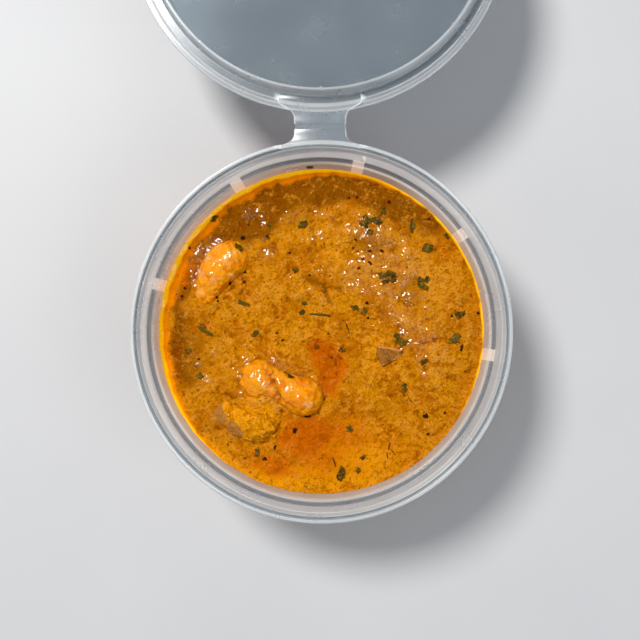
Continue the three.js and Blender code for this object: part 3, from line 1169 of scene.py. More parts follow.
@dataclass
class Lid:
    """The round lid with its plug ring, its tab and its half of the hinge strap."""

    segments: int = 192
    centre_y: float = 124.9
    top: float = 44.0
    wall: float = 0.9
    radius: float = 58.0
    drop: float = 1.1
    plug: float = 4.0
    tab_radius: float = 51.45
    shape: Strap = Strap(edge_y=62.9, straight_y=64.6, root=(12.6, 69.6), back_y=72.2)

    def corners(self) -> list[Corner]:
        """The outline: underside, stepped edge, plug ring and panel."""
        top, under, drop = self.top, self.top - self.wall, self.drop
        return [
            Corner(0, under), Corner(55.3, under, 0.2), Corner(55.9, under - drop, 0.2),
            Corner(self.radius, under - drop, 0.3), Corner(self.radius, top - drop, 0.35),
            Corner(56.4, top - drop, 0.2), Corner(55.8, top, 0.3), Corner(53.4, top, 0.2),
            Corner(52.6, top + self.plug, 0.3), Corner(51.75, top + self.plug, 0.3),
            Corner(51.9, top, 0.2), Corner(0, top),
        ]

    def build(self, finish: bpy.types.Material) -> None:
        """Makes the lid."""
        centre = (0.0, self.centre_y)
        lowest = self.top - self.wall - self.drop
        shell = Bench.turned("lid_shell", self.corners(), self.segments, centre)
        strap = self.shape.build("lid_strap", self.top - self.wall, self.top + 0.01, 0.3)
        gusset = self.shape.build("gusset", lowest + 0.02, self.top - 0.2, 0.1)
        disc = Bench.turned("disc", [Corner(0, 40), Corner(self.radius - 0.05, 40),
                                     Corner(self.radius - 0.05, 46), Corner(0, 46)],
                            self.segments, centre)
        Bench.combine(gusset, disc, Cut.INTERSECT)
        middle = Vector((0.3, self.centre_y - self.tab_radius, self.top + 1.75))
        tab = Bench.block("tab", (0.8, 2.5, 4.4), middle, worn=0.1)
        points = Bench.points(tab) / MM
        with Bench.editing():
            Bench.pick(tab, (points[:, 1] < middle.y) & (points[:, 2] < middle.z))
            bpy.ops.transform.translate(value=(0, -0.9 * MM, 0))
        for extra in (gusset, strap, tab):
            Bench.combine(shell, extra, Cut.UNION)
        Bench.settle(shell)
        Bench.mark(shell, "edge", self.shape.edge_mark(Bench.points(shell) / MM))
        Bench.declare(shell, LID_BODY, "milky_plastic", finish, "lid")


@dataclass
class HingeStrip:
    """The thin strip that bends: it joins the two halves of the strap."""

    y: float = 62.4
    gap: float = 1.0
    overlap: float = 0.12
    width: float = 15.0
    top: float = 43.93
    thickness: float = 0.26
    lengthwise: int = 12

    def build(self, finish: bpy.types.Material) -> None:
        """Makes the strip, cut across into short lengths, with its finish."""
        length = self.gap + 2 * self.overlap
        strip = Bench.block("hinge_strip", (self.width, length, self.thickness),
                            (0, self.y, self.top - self.thickness / 2))
        start = self.y - length / 2
        with Bench.editing():
            for step in range(1, self.lengthwise):
                Bench.select_all()
                bpy.ops.mesh.bisect(
                    plane_co=(0, (start + length * step / self.lengthwise) * MM, 0),
                    plane_no=(0, 1, 0))
        Bench.settle(strip)
        strip.data.materials.append(finish)
        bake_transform(strip)
        LOG.info("hinge_strip: bends between %s and %s", TUB_BODY, LID_BODY)


# ---------------------------------------------------------------------------------------------
# Food
# ---------------------------------------------------------------------------------------------


class Clouds:
    """Smooth random field over the plane: slopes on a lattice, blended between its points."""

    def __init__(self, seed: int, size: int = 96) -> None:
        """Draws the slopes.

        Args:
            seed: gives the same field each time.
            size: lattice points before the field repeats.
        """
        angle = np.random.default_rng(seed).uniform(0, 2 * math.pi, (size, size))
        self.slopes = np.stack((np.cos(angle), np.sin(angle)), axis=-1)
        self.size = size

    def at(self, x: np.ndarray, y: np.ndarray, spread: float) -> np.ndarray:
        """Reads the field.

        Args:
            x: places, in millimetres.
            y: places, in millimetres.
            spread: size of its features, in millimetres.

        Returns:
            Values from about -1 to 1.
        """
        u, v = x / spread + 500.0, y / spread + 500.0
        i, j = np.floor(u).astype(int), np.floor(v).astype(int)
        fu, fv = u - i, v - j

        def corner(right: int, up: int) -> np.ndarray:
            """What one point of the lattice gives."""
            slope = self.slopes[(i + right) % self.size, (j + up) % self.size]
            return slope[..., 0] * (fu - right) + slope[..., 1] * (fv - up)

        ease_u, ease_v = (f * f * f * (f * (f * 6 - 15) + 10) for f in (fu, fv))
        low = corner(0, 0) * (1 - ease_u) + corner(1, 0) * ease_u
        high = corner(0, 1) * (1 - ease_u) + corner(1, 1) * ease_u
        return 1.5 * (low * (1 - ease_v) + high * ease_v)

    def layers(self, x: np.ndarray, y: np.ndarray, spread: float, count: int,
               share: float = 0.5) -> np.ndarray:
        """Adds up finer and finer fields, each half the size and a share of the height."""
        total, weight = np.zeros_like(x), 1.0
        for layer in range(count):
            total = total + weight * self.at(x + 31.7 * layer, y - 17.3 * layer,
                                             spread / 2 ** layer)
            weight *= share
        return total

    def around(self, x: np.ndarray, y: np.ndarray, waves: float) -> np.ndarray:
        """Reads the field along a circle, so that it changes with the direction only."""
        reach = np.maximum(np.hypot(x, y), 1e-6)
        return self.at(x / reach * waves, y / reach * waves, 1.0)


def ease(value: np.ndarray, low: float, high: float) -> np.ndarray:
    """Rises smoothly from 0 at low to 1 at high."""
    t = np.clip((value - low) / (high - low), 0, 1)
    return t * t * (3 - 2 * t)


def blob(x: np.ndarray, y: np.ndarray, place: Pair, spread: float) -> np.ndarray:
    """Soft round spot, 1 in its middle."""
    return np.exp(-((x - place[0]) ** 2 + (y - place[1]) ** 2) / spread ** 2)


@dataclass
class FoodMap:
    """The sauce's relief and marks, as functions of the place.

    Args:
        studio: gives the place under a pixel.
        tub: gives the wall that the sauce meets.
        shrimps: what the sauce climbs over.
    """

    studio: Studio
    tub: Tub
    shrimps: tuple["Shrimp", ...]
    level: float = 33.5
    meniscus: float = 0.9
    climb_ease: float = 2.5
    # The line and the shore carry painted light, widest at the upper left where light comes through
    # the wall.
    # Widths of the bright line and of the orange shore along the wall: degrees, millimetres.
    rim_widths: tuple[Spot, ...] = (
        (-180, 1.4, 3.4), (-165, 1.2, 2.9), (-150, 0.8, 1.9), (-135, 0.3, 0.8),
        (-115, 0, 0), (-55, 0, 0), (-30, 0.25, 0.3), (0, 0.35, 0.4), (30, 0.35, 0.4),
        (60, 0.4, 0.8), (85, 0.8, 2.0), (105, 1.4, 3.6), (140, 1.6, 4.0), (165, 1.5, 3.8),
        (180, 1.4, 3.4))
    # Broad swells over what lies below: middle x and y, rise and spread, in millimetres.
    swells: tuple[Row, ...] = (
        (-31, 17, 0.5, 9), (-17, -17, 0.8, 9), (-24, -29, 0.7, 8), (-19, -14.5, 1.2, 6.5),
        (-18, -20.8, 1.5, 4.5), (20, 27, 0.9, 10),
        (36, 0, 0.8, 11), (4, -13, -0.7, 5), (6, -38, -0.8, 12))
    # Small crests that catch the light: pixel across, pixel down, spread and rise.
    crests: tuple[Row, ...] = (
        (249, 214, 1.3, 0.5), (269, 254, 1.6, 0.6), (266, 238, 0.7, 0.4), (317, 213, 1.1, 0.5),
        (328, 215, 0.9, 0.4), (303, 239, 1, 0.4), (312, 238, 1, 0.4), (319, 237, 0.9, 0.4),
        (292, 282, 0.7, 0.3), (300, 281, 0.7, 0.3), (321, 272, 0.9, 0.4), (320, 301, 1, 0.4),
        (364, 220, 1.1, 0.6), (370, 216, 0.9, 0.5), (369, 236, 1.3, 0.6), (382, 234, 0.8, 0.4),
        (388, 242, 1.4, 0.9), (341, 240, 0.9, 0.4), (336, 244, 0.8, 0.4), (365, 251, 0.9, 0.5),
        (364, 259, 1, 0.5), (383, 257, 0.9, 0.5), (393, 257, 0.8, 0.4), (408, 257, 1.2, 0.6),
        (352, 267, 1.2, 0.6), (351, 275, 1.1, 0.5), (411, 271, 1.5, 0.8), (407, 275, 1.1, 0.6),
        (420, 280, 1, 0.6), (377, 289, 0.8, 0.4), (387, 290, 0.9, 0.4), (364, 292, 0.9, 0.4),
        (410, 299, 1.4, 0.8), (396, 315, 1, 0.5), (390, 314, 0.8, 0.4), (389, 307, 0.8, 0.4),
        (428, 307, 1, 0.4), (403, 319, 1.6, 0.8), (419, 328, 1.2, 0.5), (404, 334, 1.3, 0.6),
        (420, 343, 1.2, 0.5), (432, 335, 1.1, 0.5), (420, 357, 1.1, 0.5), (424, 375, 1.3, 0.5),
        (435, 386, 1.2, 0.5), (438, 404, 1.3, 0.4), (254, 372, 1.3, 0.6), (249, 364, 1, 0.5),
        (266, 386, 1.1, 0.5), (246, 380, 1.1, 0.5), (258, 392, 1.1, 0.5), (270, 372, 1.1, 0.5),
        (276, 360, 1.1, 0.5), (264, 400, 1.1, 0.5), (273, 392, 1, 0.4), (262, 364, 1, 0.5),
        (262, 379, 0.9, 0.4), (286, 400, 1, 0.4), (292, 392, 1.1, 0.4), (301, 403, 1, 0.4),
        (316, 386, 1.1, 0.5), (322, 394, 0.9, 0.4), (308, 382, 1, 0.4), (254, 402, 1.1, 0.4),
        (247, 346, 0.9, 0.4), (240, 392, 1, 0.4), (238, 378, 0.9, 0.4), (291, 408, 0.8, 0.3),
        (197, 364, 1, 0.5), (205, 380, 1.2, 0.5), (201, 325, 1.1, 0.5), (213, 352, 1.2, 0.4),
        (324, 301, 0.9, 0.4), (231, 415, 1, 0.4), (256, 417, 1.6, 0.5), (266, 430, 1.7, 0.5),
        (250, 437, 1.4, 0.4), (345, 275, 1, 0.4), (357, 232, 1, 0.4), (374, 475, 1.2, 0.5),
        (254, 311, 1, 0.3), (335, 382, 0.8, 0.2), (367, 383, 1.1, 0.4), (356, 383, 0.8, 0.3))
    # Soft patches of each mark: middle across and down, half width and half height in pixels,
    # degrees turned anticlockwise, and strength.
    washes: dict[str, tuple[Row, ...]] = field(default_factory=lambda: {
        "oily": (
            (328, 362, 16, 28, 22, 1.1), (328, 385, 10, 12, 0, 0.7), (300, 435, 30, 19, 10, 0.9),
            (314, 344, 14, 5, -14, 0.9), (340, 440, 44, 22, 0, 0.6), (262, 462, 32, 12, -24, 0.48),
            (350, 410, 22, 16, 0, 0.25), (318, 470, 60, 14, 0, 0.5), (174, 362, 8, 40, 6, 0.4),
            (186, 278, 7, 26, -24, 0.6), (445, 250, 8, 22, 40, 0.5), (474, 300, 6, 26, 10, 0.4),
            (246, 330, 8, 6, 0, 0.4), (208, 325, 8, 7, 0, 0.5), (340, 215, 30, 14, 0, 0.3),
            (404, 452, 24, 20, 0, 0.4), (464, 400, 6, 34, -14, 0.4), (222, 470, 24, 7, -40, 0.4)),
        "cream": (
            (446, 300, 24, 34, 10, 0.5), (430, 364, 22, 26, 0, 0.4), (418, 262, 14, 22, 30, 0.5),
            (414, 318, 12, 12, 0, 0.4), (262, 300, 40, 14, 8, 0.25), (214, 350, 24, 12, 20, 0.4),
            (208, 385, 18, 14, 0, 0.4), (352, 272, 10, 10, 0, 0.4), (395, 235, 16, 12, 0, 0.3),
            (236, 308, 18, 7, 0, 0.35), (400, 319, 7, 5, 0, 1.3), (413, 270, 9, 8, 0, 1)),
        "bright": (
            (350, 446, 60, 30, 0, 0.6), (366, 467, 30, 16, 0, 0.6), (290, 478, 70, 10, 0, 1.2),
            (222, 462, 44, 9, -40, 1.2), (258, 424, 22, 16, 0, 0.6), (380, 380, 26, 26, 0, 0.3),
            (262, 402, 18, 14, 0, 0.9), (330, 240, 40, 20, 0, 0.3), (262, 350, 30, 12, 0, 0.35),
            (414, 452, 20, 16, 0, 0.3), (374, 345, 20, 20, 0, 0.25), (290, 200, 30, 10, 0, 0.2)),
        "bare": (
            (217, 412, 6, 11, -20, 1), (233, 430, 6, 11, 40, 1)),
        "glossy": (
            (384, 250, 34, 36, 0, 0.55), (320, 224, 46, 20, 0, 0.4), (400, 306, 38, 38, 0, 0.5),
            (300, 286, 36, 18, 0, 0.3), (262, 378, 34, 28, 30, 0.6), (424, 352, 26, 26, 0, 0.4),
            (256, 254, 22, 16, 0, 0.4), (210, 264, 18, 30, -20, 0.9), (202, 366, 18, 16, 0, 0.35),
            (300, 392, 24, 24, 0, 0.4), (352, 278, 22, 16, 0, 0.4), (254, 216, 14, 8, 0, 0.5)),
        # Darker sauce and painted shade, most along the top and the left, where the wall shades the
        # sauce.
        "olive_and_shade": (
            (256, 214, 46, 24, 24, 0.9), (322, 188, 66, 15, 0, 1.05), (392, 204, 34, 16, -24, 1),
            (368, 240, 22, 16, 0, 0.6), (412, 286, 18, 22, 0, 0.5), (196, 262, 12, 26, -20, 0.5),
            (434, 222, 20, 16, -40, 0.7), (446, 330, 22, 20, 0, 0.4), (190, 350, 14, 30, 0, 0.35),
            (236, 394, 20, 22, 0, 0.25), (212, 428, 16, 18, -40, 0.4), (388, 408, 26, 18, 0, 0.3),
            (320, 350, 14, 7, -20, 0.9), (312, 281, 12, 4, -20, 0.8), (326, 294, 4, 12, 20, 0.7),
            (300, 300, 14, 5, 0, 0.5), (352, 380, 10, 10, 0, 0.3), (300, 210, 40, 12, 0, 0.3),
            (202, 344, 26, 60, 0, 0.3), (185, 290, 7, 26, -16, 0.6), (178, 336, 7, 30, 0, 0.7),
            (183, 374, 7, 20, 14, 0.5), (230, 232, 34, 18, 30, 0.4)),
    })
    # Where the sauce's skin has torn or folded: a line of pixels and the step's height.
    folds: tuple[tuple[tuple[Pair, ...], float], ...] = (
        (((214, 240), (206, 250), (198, 268), (190, 286), (179, 304)), -0.25),
        (((300, 341), (312, 337), (326, 343), (338, 352), (348, 366)), 0.45),
        (((182, 328), (194, 326), (204, 322)), 0.3),
        (((204, 362), (213, 353), (216, 348)), 0.3),
        (((236, 446), (254, 446), (268, 440), (279, 428), (282, 416)), -0.3),
        (((178, 336), (177, 352), (176, 368), (180, 384), (186, 400)), -0.35),
        (((234, 286), (224, 300), (212, 314), (204, 330)), -0.3),
        (((275, 378), (278, 388), (280, 398), (279, 408), (288, 417)), -0.35),
        (((196, 420), (204, 432), (212, 438)), -0.3),
        (((194, 430), (210, 451), (230, 467), (256, 479), (284, 486), (314, 487)), 0.8),
        (((304, 343), (318, 341), (332, 349), (342, 360)), -0.15),
        (((312, 344), (324, 350), (336, 362), (338, 376)), -0.25),
        (((262, 362), (272, 374), (277, 390)), -0.2),
        (((342, 346), (356, 330), (366, 326)), -0.15), (((306, 300), (330, 292), (344, 300)), 0.2))
    fold_width: float = 0.7

    def __post_init__(self) -> None:
        """Draws the random fields."""
        self.lumps, self.warp, self.grain = Clouds(11), Clouds(23), Clouds(37)

    def mark(self, name: str, x: np.ndarray, y: np.ndarray) -> np.ndarray:
        """Adds up the washes of one mark.

        Args:
            name: a key of washes.
            x: places, in millimetres.
            y: places, in millimetres.

        Returns:
            The mark at each place, from 0 up.
        """
        shift = 1.6 * self.warp.layers(x, y, 7.0, 3)
        total = np.zeros_like(x)
        size = self.studio.frame_width / self.studio.picture * 1.04
        for across, down, wide, high, degrees, strength in self.washes[name]:
            cx, cy = self.studio.spot(across, down, self.level)
            turn = math.radians(degrees)
            dx, dy = x - cx + shift, y - cy - shift
            along = (dx * math.cos(turn) + dy * math.sin(turn)) / (wide * size)
            aside = (dy * math.cos(turn) - dx * math.sin(turn)) / (high * size)
            total = total + strength * np.exp(-(along ** 2 + aside ** 2) ** 1.5 * 0.8)
        return total

    def wall_gap(self, x: np.ndarray, y: np.ndarray) -> np.ndarray:
        """Distance from the wall, in millimetres."""
        return self.tub.wall_radius(self.level + 0.4) - np.hypot(x, y)

    def folds_at(self, x: np.ndarray, y: np.ndarray) -> tuple[np.ndarray, np.ndarray]:
        """Height that the folds add or take, and how much a place lies in a crease, where the sauce
        gets painted shade.
        """
        total, crease = np.zeros_like(x), np.zeros_like(x)
        stray = 0.5 * self.grain.at(x, y, 1.6)
        for line, rise in self.folds:
            spots = [np.array(self.studio.spot(*pixel, self.level)) for pixel in line]
            nearest = np.full_like(x, 1e9)
            for start, end in pairwise(spots):
                run = end - start
                dx, dy = x + stray - start[0], y - stray - start[1]
                t = np.clip((dx * run[0] + dy * run[1]) / (run @ run), 0, 1)
                nearest = np.minimum(nearest, np.hypot(dx - t * run[0], dy - t * run[1]))
            total = total + rise * np.exp(-(nearest / self.fold_width) ** 2)
            if rise < 0:
                crease = np.maximum(crease, np.exp(-(nearest / self.fold_width) ** 2))
        patchy = np.clip(0.35 + 1.6 * self.grain.layers(x + 70, y, 2.6, 2), 0, 1)
        crease = crease * patchy
        return total, crease

    def crest(self, x: np.ndarray, y: np.ndarray) -> np.ndarray:
        """Height of the small crests."""
        total = np.zeros_like(x)
        bend_x = x + 0.5 * self.grain.at(x, y, 1.3)
        bend_y = y + 0.5 * self.grain.at(x + 50, y, 1.3)
        for across, down, spread, rise in self.crests:
            total = total + rise * blob(bend_x, bend_y,
                                        self.studio.spot(across, down, self.level), spread)
        return total * np.clip(0.6 + 0.9 * self.grain.layers(x - 9, y, 1.1, 2), 0, 1.5)

    def swell(self, x: np.ndarray, y: np.ndarray) -> np.ndarray:
        """Height of the broad swells over what lies below, from the level."""
        total = np.zeros_like(x)
        for cx, cy, rise, spread in self.swells:
            total = total + rise * blob(x, y, (cx, cy), spread)
        return total

    def lumpiness(self, x: np.ndarray, y: np.ndarray) -> np.ndarray:
        """Height of the sauce's lumps and small wrinkles, from their middle."""
        calm, bare = ease(self.mark("oily", x, y), 0.3, 1.0), self.mark("bare", x, y)
        rough = (1 - 0.6 * calm) * (1 - 0.7 * ease(bare, 0.3, 0.7))
        bend = 0.6 * self.warp.layers(x, y, 3.0, 2)
        lumps = self.lumps.layers(x + bend, y - bend, 5.5, 2)
        small = 0.35 - np.abs(self.grain.layers(x + bend, y, 2.4, 3, 0.6))
        return rough * (0.42 * lumps + 0.34 * small)

    def height(self, x: np.ndarray, y: np.ndarray) -> np.ndarray:
        """Height of the sauce's top, in millimetres."""
        z = self.level + self.swell(x, y) + self.folds_at(x, y)[0] + self.crest(x, y) \
            + self.lumpiness(x, y) - 0.25 * ease(self.mark("oily", x, y), 0.3, 1.0)
        for shrimp in self.shrimps:
            z = np.logaddexp(self.climb_ease * z, self.climb_ease * (
                shrimp.top(x, y) - shrimp.bared)) / self.climb_ease
        gap = np.clip(self.wall_gap(x, y), 0, None)
        edge = np.exp(-gap / 1.3)
        climb = self.meniscus * (1 + 0.35 * self.warp.around(x, y, 9.0))
        return z * (1 - edge) + edge * self.level + climb * np.exp(-gap / 0.8)

    def rims(self, x: np.ndarray, y: np.ndarray) -> tuple[np.ndarray, np.ndarray]:
        """Bright line of oil along the wall and the orange shore inside it, both painted brighter
        by light that comes through the wall.
        """
        angle = np.degrees(np.arctan2(y, x))
        angles, bright, shore = zip(*self.rim_widths)
        sway = 1 + 0.4 * self.warp.around(x, y, 6.0) + 0.3 * self.warp.around(x, y, 17.0)
        gap = self.wall_gap(x, y)
        line, band = (np.interp(angle, angles, widths) * sway for widths in (bright, shore))
        return (1 - ease(gap, 0.5 * line, line + 0.15)) * ease(line, 0.1, 0.4), \
            (1 - ease(gap, 0.5 * band, band + 0.2)) * ease(band, 0.3, 1.0)

    def drop(self, across: float, down: float) -> tuple[Vector, Vector]:
        """Drops a pixel onto the food.

        Args:
            across: pixels from the picture's left edge.
            down: pixels from its top edge.

        Returns:
            The place and the surface's normal there, in millimetres.
        """
        z = self.level
        for _ in range(3):
            x, y = self.studio.spot(across, down, z)
            z = self.seat(x, y)[0].z
        return self.seat(x, y)

    def seat(self, x: float, y: float) -> tuple[Vector, Vector]:
        """The food's surface at a place: its point and its normal."""
        step = 0.4
        xs = np.array([x, x + step, x - step, x, x])
        ys = np.array([y, y, y, y + step, y - step])
        z = self.height(xs, ys)
        for shrimp in self.shrimps:
            z = np.maximum(z, shrimp.top(xs, ys))
        normal = Vector((z[2] - z[1], z[4] - z[3], 2 * step)).normalized()
        return Vector((x, y, float(z[0]))), normal


@dataclass
class Curry:
    """The sauce: an uneven top, sides that reach just into the wall, and a flat foot."""

    food: FoodMap
    cells: int = 288
    into_wall: float = 0.3

    def discs(self, square: np.ndarray) -> np.ndarray:
        """Maps a square from -1 to 1 onto a round disc with even cells."""
        a, b = square[:, 0], square[:, 1]
        wide = np.abs(a) > np.abs(b)
        radius = np.where(wide, a, b)
        with np.errstate(divide="ignore", invalid="ignore"):
            angle = np.where(wide, math.pi / 4 * b / a, math.pi / 2 - math.pi / 4 * a / b)
        angle = np.nan_to_num(angle)
        return np.stack((radius * np.cos(angle), radius * np.sin(angle)), axis=-1)

    def build(self, finish: bpy.types.Material) -> None:
        """Makes the sauce."""
        tub, food = self.food.tub, self.food
        Bench.deselect()
        bpy.ops.mesh.primitive_grid_add(x_subdivisions=self.cells, y_subdivisions=self.cells,
                                        size=2)
        piece = Bench.named("sauce")
        flat = self.discs(Bench.points(piece)) * (
            tub.wall_radius(food.level + food.meniscus) + self.into_wall)
        x, y = flat[:, 0], flat[:, 1]
        Bench.reshape(piece, np.stack((x, y, food.height(x, y)), axis=-1) * MM)
        self.close(piece)
        points = Bench.points(piece) / MM
        x, y = points[:, 0], points[:, 1]
        rim, shore = food.rims(x, y)
        for name in food.washes:
            Bench.mark(piece, name, food.mark(name, x, y))
        # Rim and shore marks carry painted light; the crease mark carries painted shade.
        Bench.mark(piece, "rim", rim)
        Bench.mark(piece, "shore", shore)
        Bench.mark(piece, "crease", food.folds_at(x, y)[1])
        # The relief's height, which the finish turns into painted shade in hollows and painted
        # highlights on crests.
        Bench.mark(piece, "high", 0.5 + 0.9 * food.lumpiness(x, y))
        Bench.mark(piece, "wet", ease(food.mark("oily", x, y), 0.3, 1.0) * 0.2 + rim * 0.5
                   + 2.5 * food.crest(x, y) + food.mark("glossy", x, y))
        Bench.settle(piece, 80.0)
        Bench.declare(piece, TUB_BODY, "curry_sauce", finish, "curry")

    def close(self, piece: bpy.types.Object) -> None:
        """Draws the edge down the wall and shuts the foot."""
        tub = self.food.tub
        Bench.focus(piece)
        here = tub.wall_radius(self.food.level + self.food.meniscus) + self.into_wall
        steps = [(z, tub.wall_radius(z) + self.into_wall) for z in (26.0, 14.0, 3.0)]
        steps += [(1.5, tub.floor_radius - 0.4 + self.into_wall),
                  (tub.floor - self.into_wall, tub.floor_radius - 1.6)]
        with Bench.editing():
            bpy.ops.mesh.select_mode(type="EDGE")
            bpy.ops.mesh.select_all(action="DESELECT")
            bpy.ops.mesh.select_non_manifold(extend=False)
            for z, radius in steps:
                bpy.ops.mesh.extrude_region_move()
                bpy.ops.transform.resize(value=(1, 1, 0), center_override=(0, 0, z * MM))
                bpy.ops.transform.resize(value=(radius / here, radius / here, 1),
                                         center_override=(0, 0, 0))
                here = radius
            bpy.ops.mesh.edge_face_add()
            Bench.face_outward()


@dataclass(frozen=True)
class Shrimp:
    """A curled shrimp that lies half sunk in the sauce.

    Args:
        name: its node.
        spine: points from head end to tail end, in millimetres.
        girth: radius at the head, the middle and the tail.
        lumpy: height of the sauce's lumps on it, in millimetres.
        coated: how much of it the sauce covers, from 0 to 1.
        pale: soft spots of pale flesh with a painted sheen where light catches it: pixel across,
            pixel down, spread.
        bare: spots without sauce: pixel across, pixel down, spread.
        bared: how far the sauce stays below its back, in millimetres.
        steep: how far its sides turn down before sauce covers them, from 1 (flat) to 0.
        notched: how many times as deep the sauce's folds cut into it.
    """

    name: str
    spine: tuple[Spot, ...]
    girth: Spot
    lumpy: float
    coated: float
    pale: tuple[Spot, ...] = ()
    bare: tuple[Spot, ...] = ()
    bared: float = 0.7
    steep: float = 0.4
    notched: float = 3.0
    rings: int = 110
    sides: int = 88
    end_share: float = 0.27

    def course(self, along: np.ndarray) -> np.ndarray:
        """The spine's place at each share of its length."""
        knots = np.linspace(0, 1, len(self.spine))
        return np.stack([np.polyval(np.polyfit(knots, [p[i] for p in self.spine], 3), along)
                         for i in range(3)], axis=-1)

    def size(self, along: np.ndarray) -> np.ndarray:
        """The radius at each share of its length."""
        head, middle, tail = self.girth
        return head + (tail - head) * along \
            + (middle - (head + tail) / 2) * np.sin(math.pi * along)

    def top(self, x: np.ndarray, y: np.ndarray) -> np.ndarray:
        """Height of the shrimp's back over a place, or nothing much beside it."""
        along = np.linspace(0, 1, 25)
        centre, size = self.course(along), self.size(along)
        away = np.hypot(x[:, None] - centre[:, 0], y[:, None] - centre[:, 1])
        return (centre[:, 2] + np.sqrt(np.clip(size ** 2 - away ** 2, 0, None))).max(axis=1) \
            - 0.15

    def build(self, food: FoodMap, finish: bpy.types.Material) -> None:
        """Makes the shrimp from a ball that is drawn out along its spine."""
        Bench.deselect()
        bpy.ops.mesh.primitive_uv_sphere_add(segments=self.sides, ring_count=self.rings, radius=1)
        piece = Bench.named(self.name + "_body")
        ball = Bench.points(piece)
        row = np.arccos(np.clip(ball[:, 2], -1, 1)) / math.pi
        along = np.clip((row - self.end_share) / (1 - 2 * self.end_share), 0, 1)
        turn = np.minimum(np.minimum(row, 1 - row) / self.end_share, 1) * math.pi / 2
        centre, size = self.course(along), self.size(along)
        tangent = self.course(along + 0.01) - self.course(along - 0.01)
        tangent /= np.linalg.norm(tangent, axis=1, keepdims=True)
        side = np.stack((-tangent[:, 1], tangent[:, 0], np.zeros(len(along))), axis=-1)
        side /= np.linalg.norm(side, axis=1, keepdims=True)
        reach = size * np.sin(turn) / np.maximum(np.hypot(ball[:, 0], ball[:, 1]), 1e-6)
        points = centre + side * (ball[:, 0] * reach)[:, None] \
            - tangent * (np.sign(ball[:, 2]) * size * np.cos(turn))[:, None]
        points[:, 2] += ball[:, 1] * reach
        outward = points - centre
        outward /= np.maximum(np.linalg.norm(outward, axis=1, keepdims=True), 1e-6)
        relief = np.array([self.relief(Vector(p)) for p in points]) \
            + (food.crest(points[:, 0], points[:, 1])
               + self.notched * np.minimum(food.folds_at(points[:, 0], points[:, 1])[0], 0)) \
            * np.clip(outward[:, 2], 0, 1)
        points = points + outward * relief[:, None]
        Bench.reshape(piece, points * MM)
        self.dress(piece, points, outward[:, 2], food)
        with Bench.editing():
            Bench.face_outward()
        Bench.settle(piece, 80.0)
        Bench.declare(piece, TUB_BODY, "shrimp_flesh", finish, self.name)

    def relief(self, point: Vector) -> float:
        """Wrinkles of the flesh and lumps of the sauce at a point, in millimetres."""
        folds = 0.1 - abs(noise.noise(point * 0.5)) * 0.5
        wrinkles = 0.12 * noise.noise(point * 1.3 + Vector((7, 3, 1)))
        lumps = noise.noise(point * 0.4 + Vector((3, 9, 2))) \
            + 0.7 * noise.noise(point * 0.8 + Vector((1, 4, 8))) \
            + 0.45 * noise.noise(point * 1.5 + Vector((5, 2, 4)))
        return 0.6 * folds + wrinkles + self.lumpy * lumps

    def dress(self, piece: bpy.types.Object, points: np.ndarray, upward: np.ndarray,
              food: FoodMap) -> None:
        """Marks where sauce covers the shrimp, where it is bare or wet, and where it is pale with a
        painted sheen.

        Args:
            piece: the shrimp.
            points: its points, in millimetres.
            upward: how much each point's surface faces up, from -1 to 1.
            food: the sauce round it.
        """
        x, y, z = points.T
        pale, bare = (sum((blob(x, y, food.studio.spot(across, down, 36.0), spread)
                           for across, down, spread in spots), np.zeros_like(x))
                      for spots in (self.pale, self.bare))
        depth = z - food.height(x, y)
        coat = self.coated + (1 - ease(depth, 0.0, 0.6)) * 0.4 \
            + (1 - ease(upward, self.steep - 0.2, self.steep + 0.2)) \
            + 0.6 * food.folds_at(x, y)[1]
        Bench.mark(piece, "coat", coat)
        Bench.mark(piece, "pale", pale)
        Bench.mark(piece, "bare", bare)
        Bench.mark(piece, "wet", 0.5 * pale + 2 * food.crest(x, y)
                   + food.mark("glossy", x, y) - 0.4 * self.coated - 0.6 * bare)


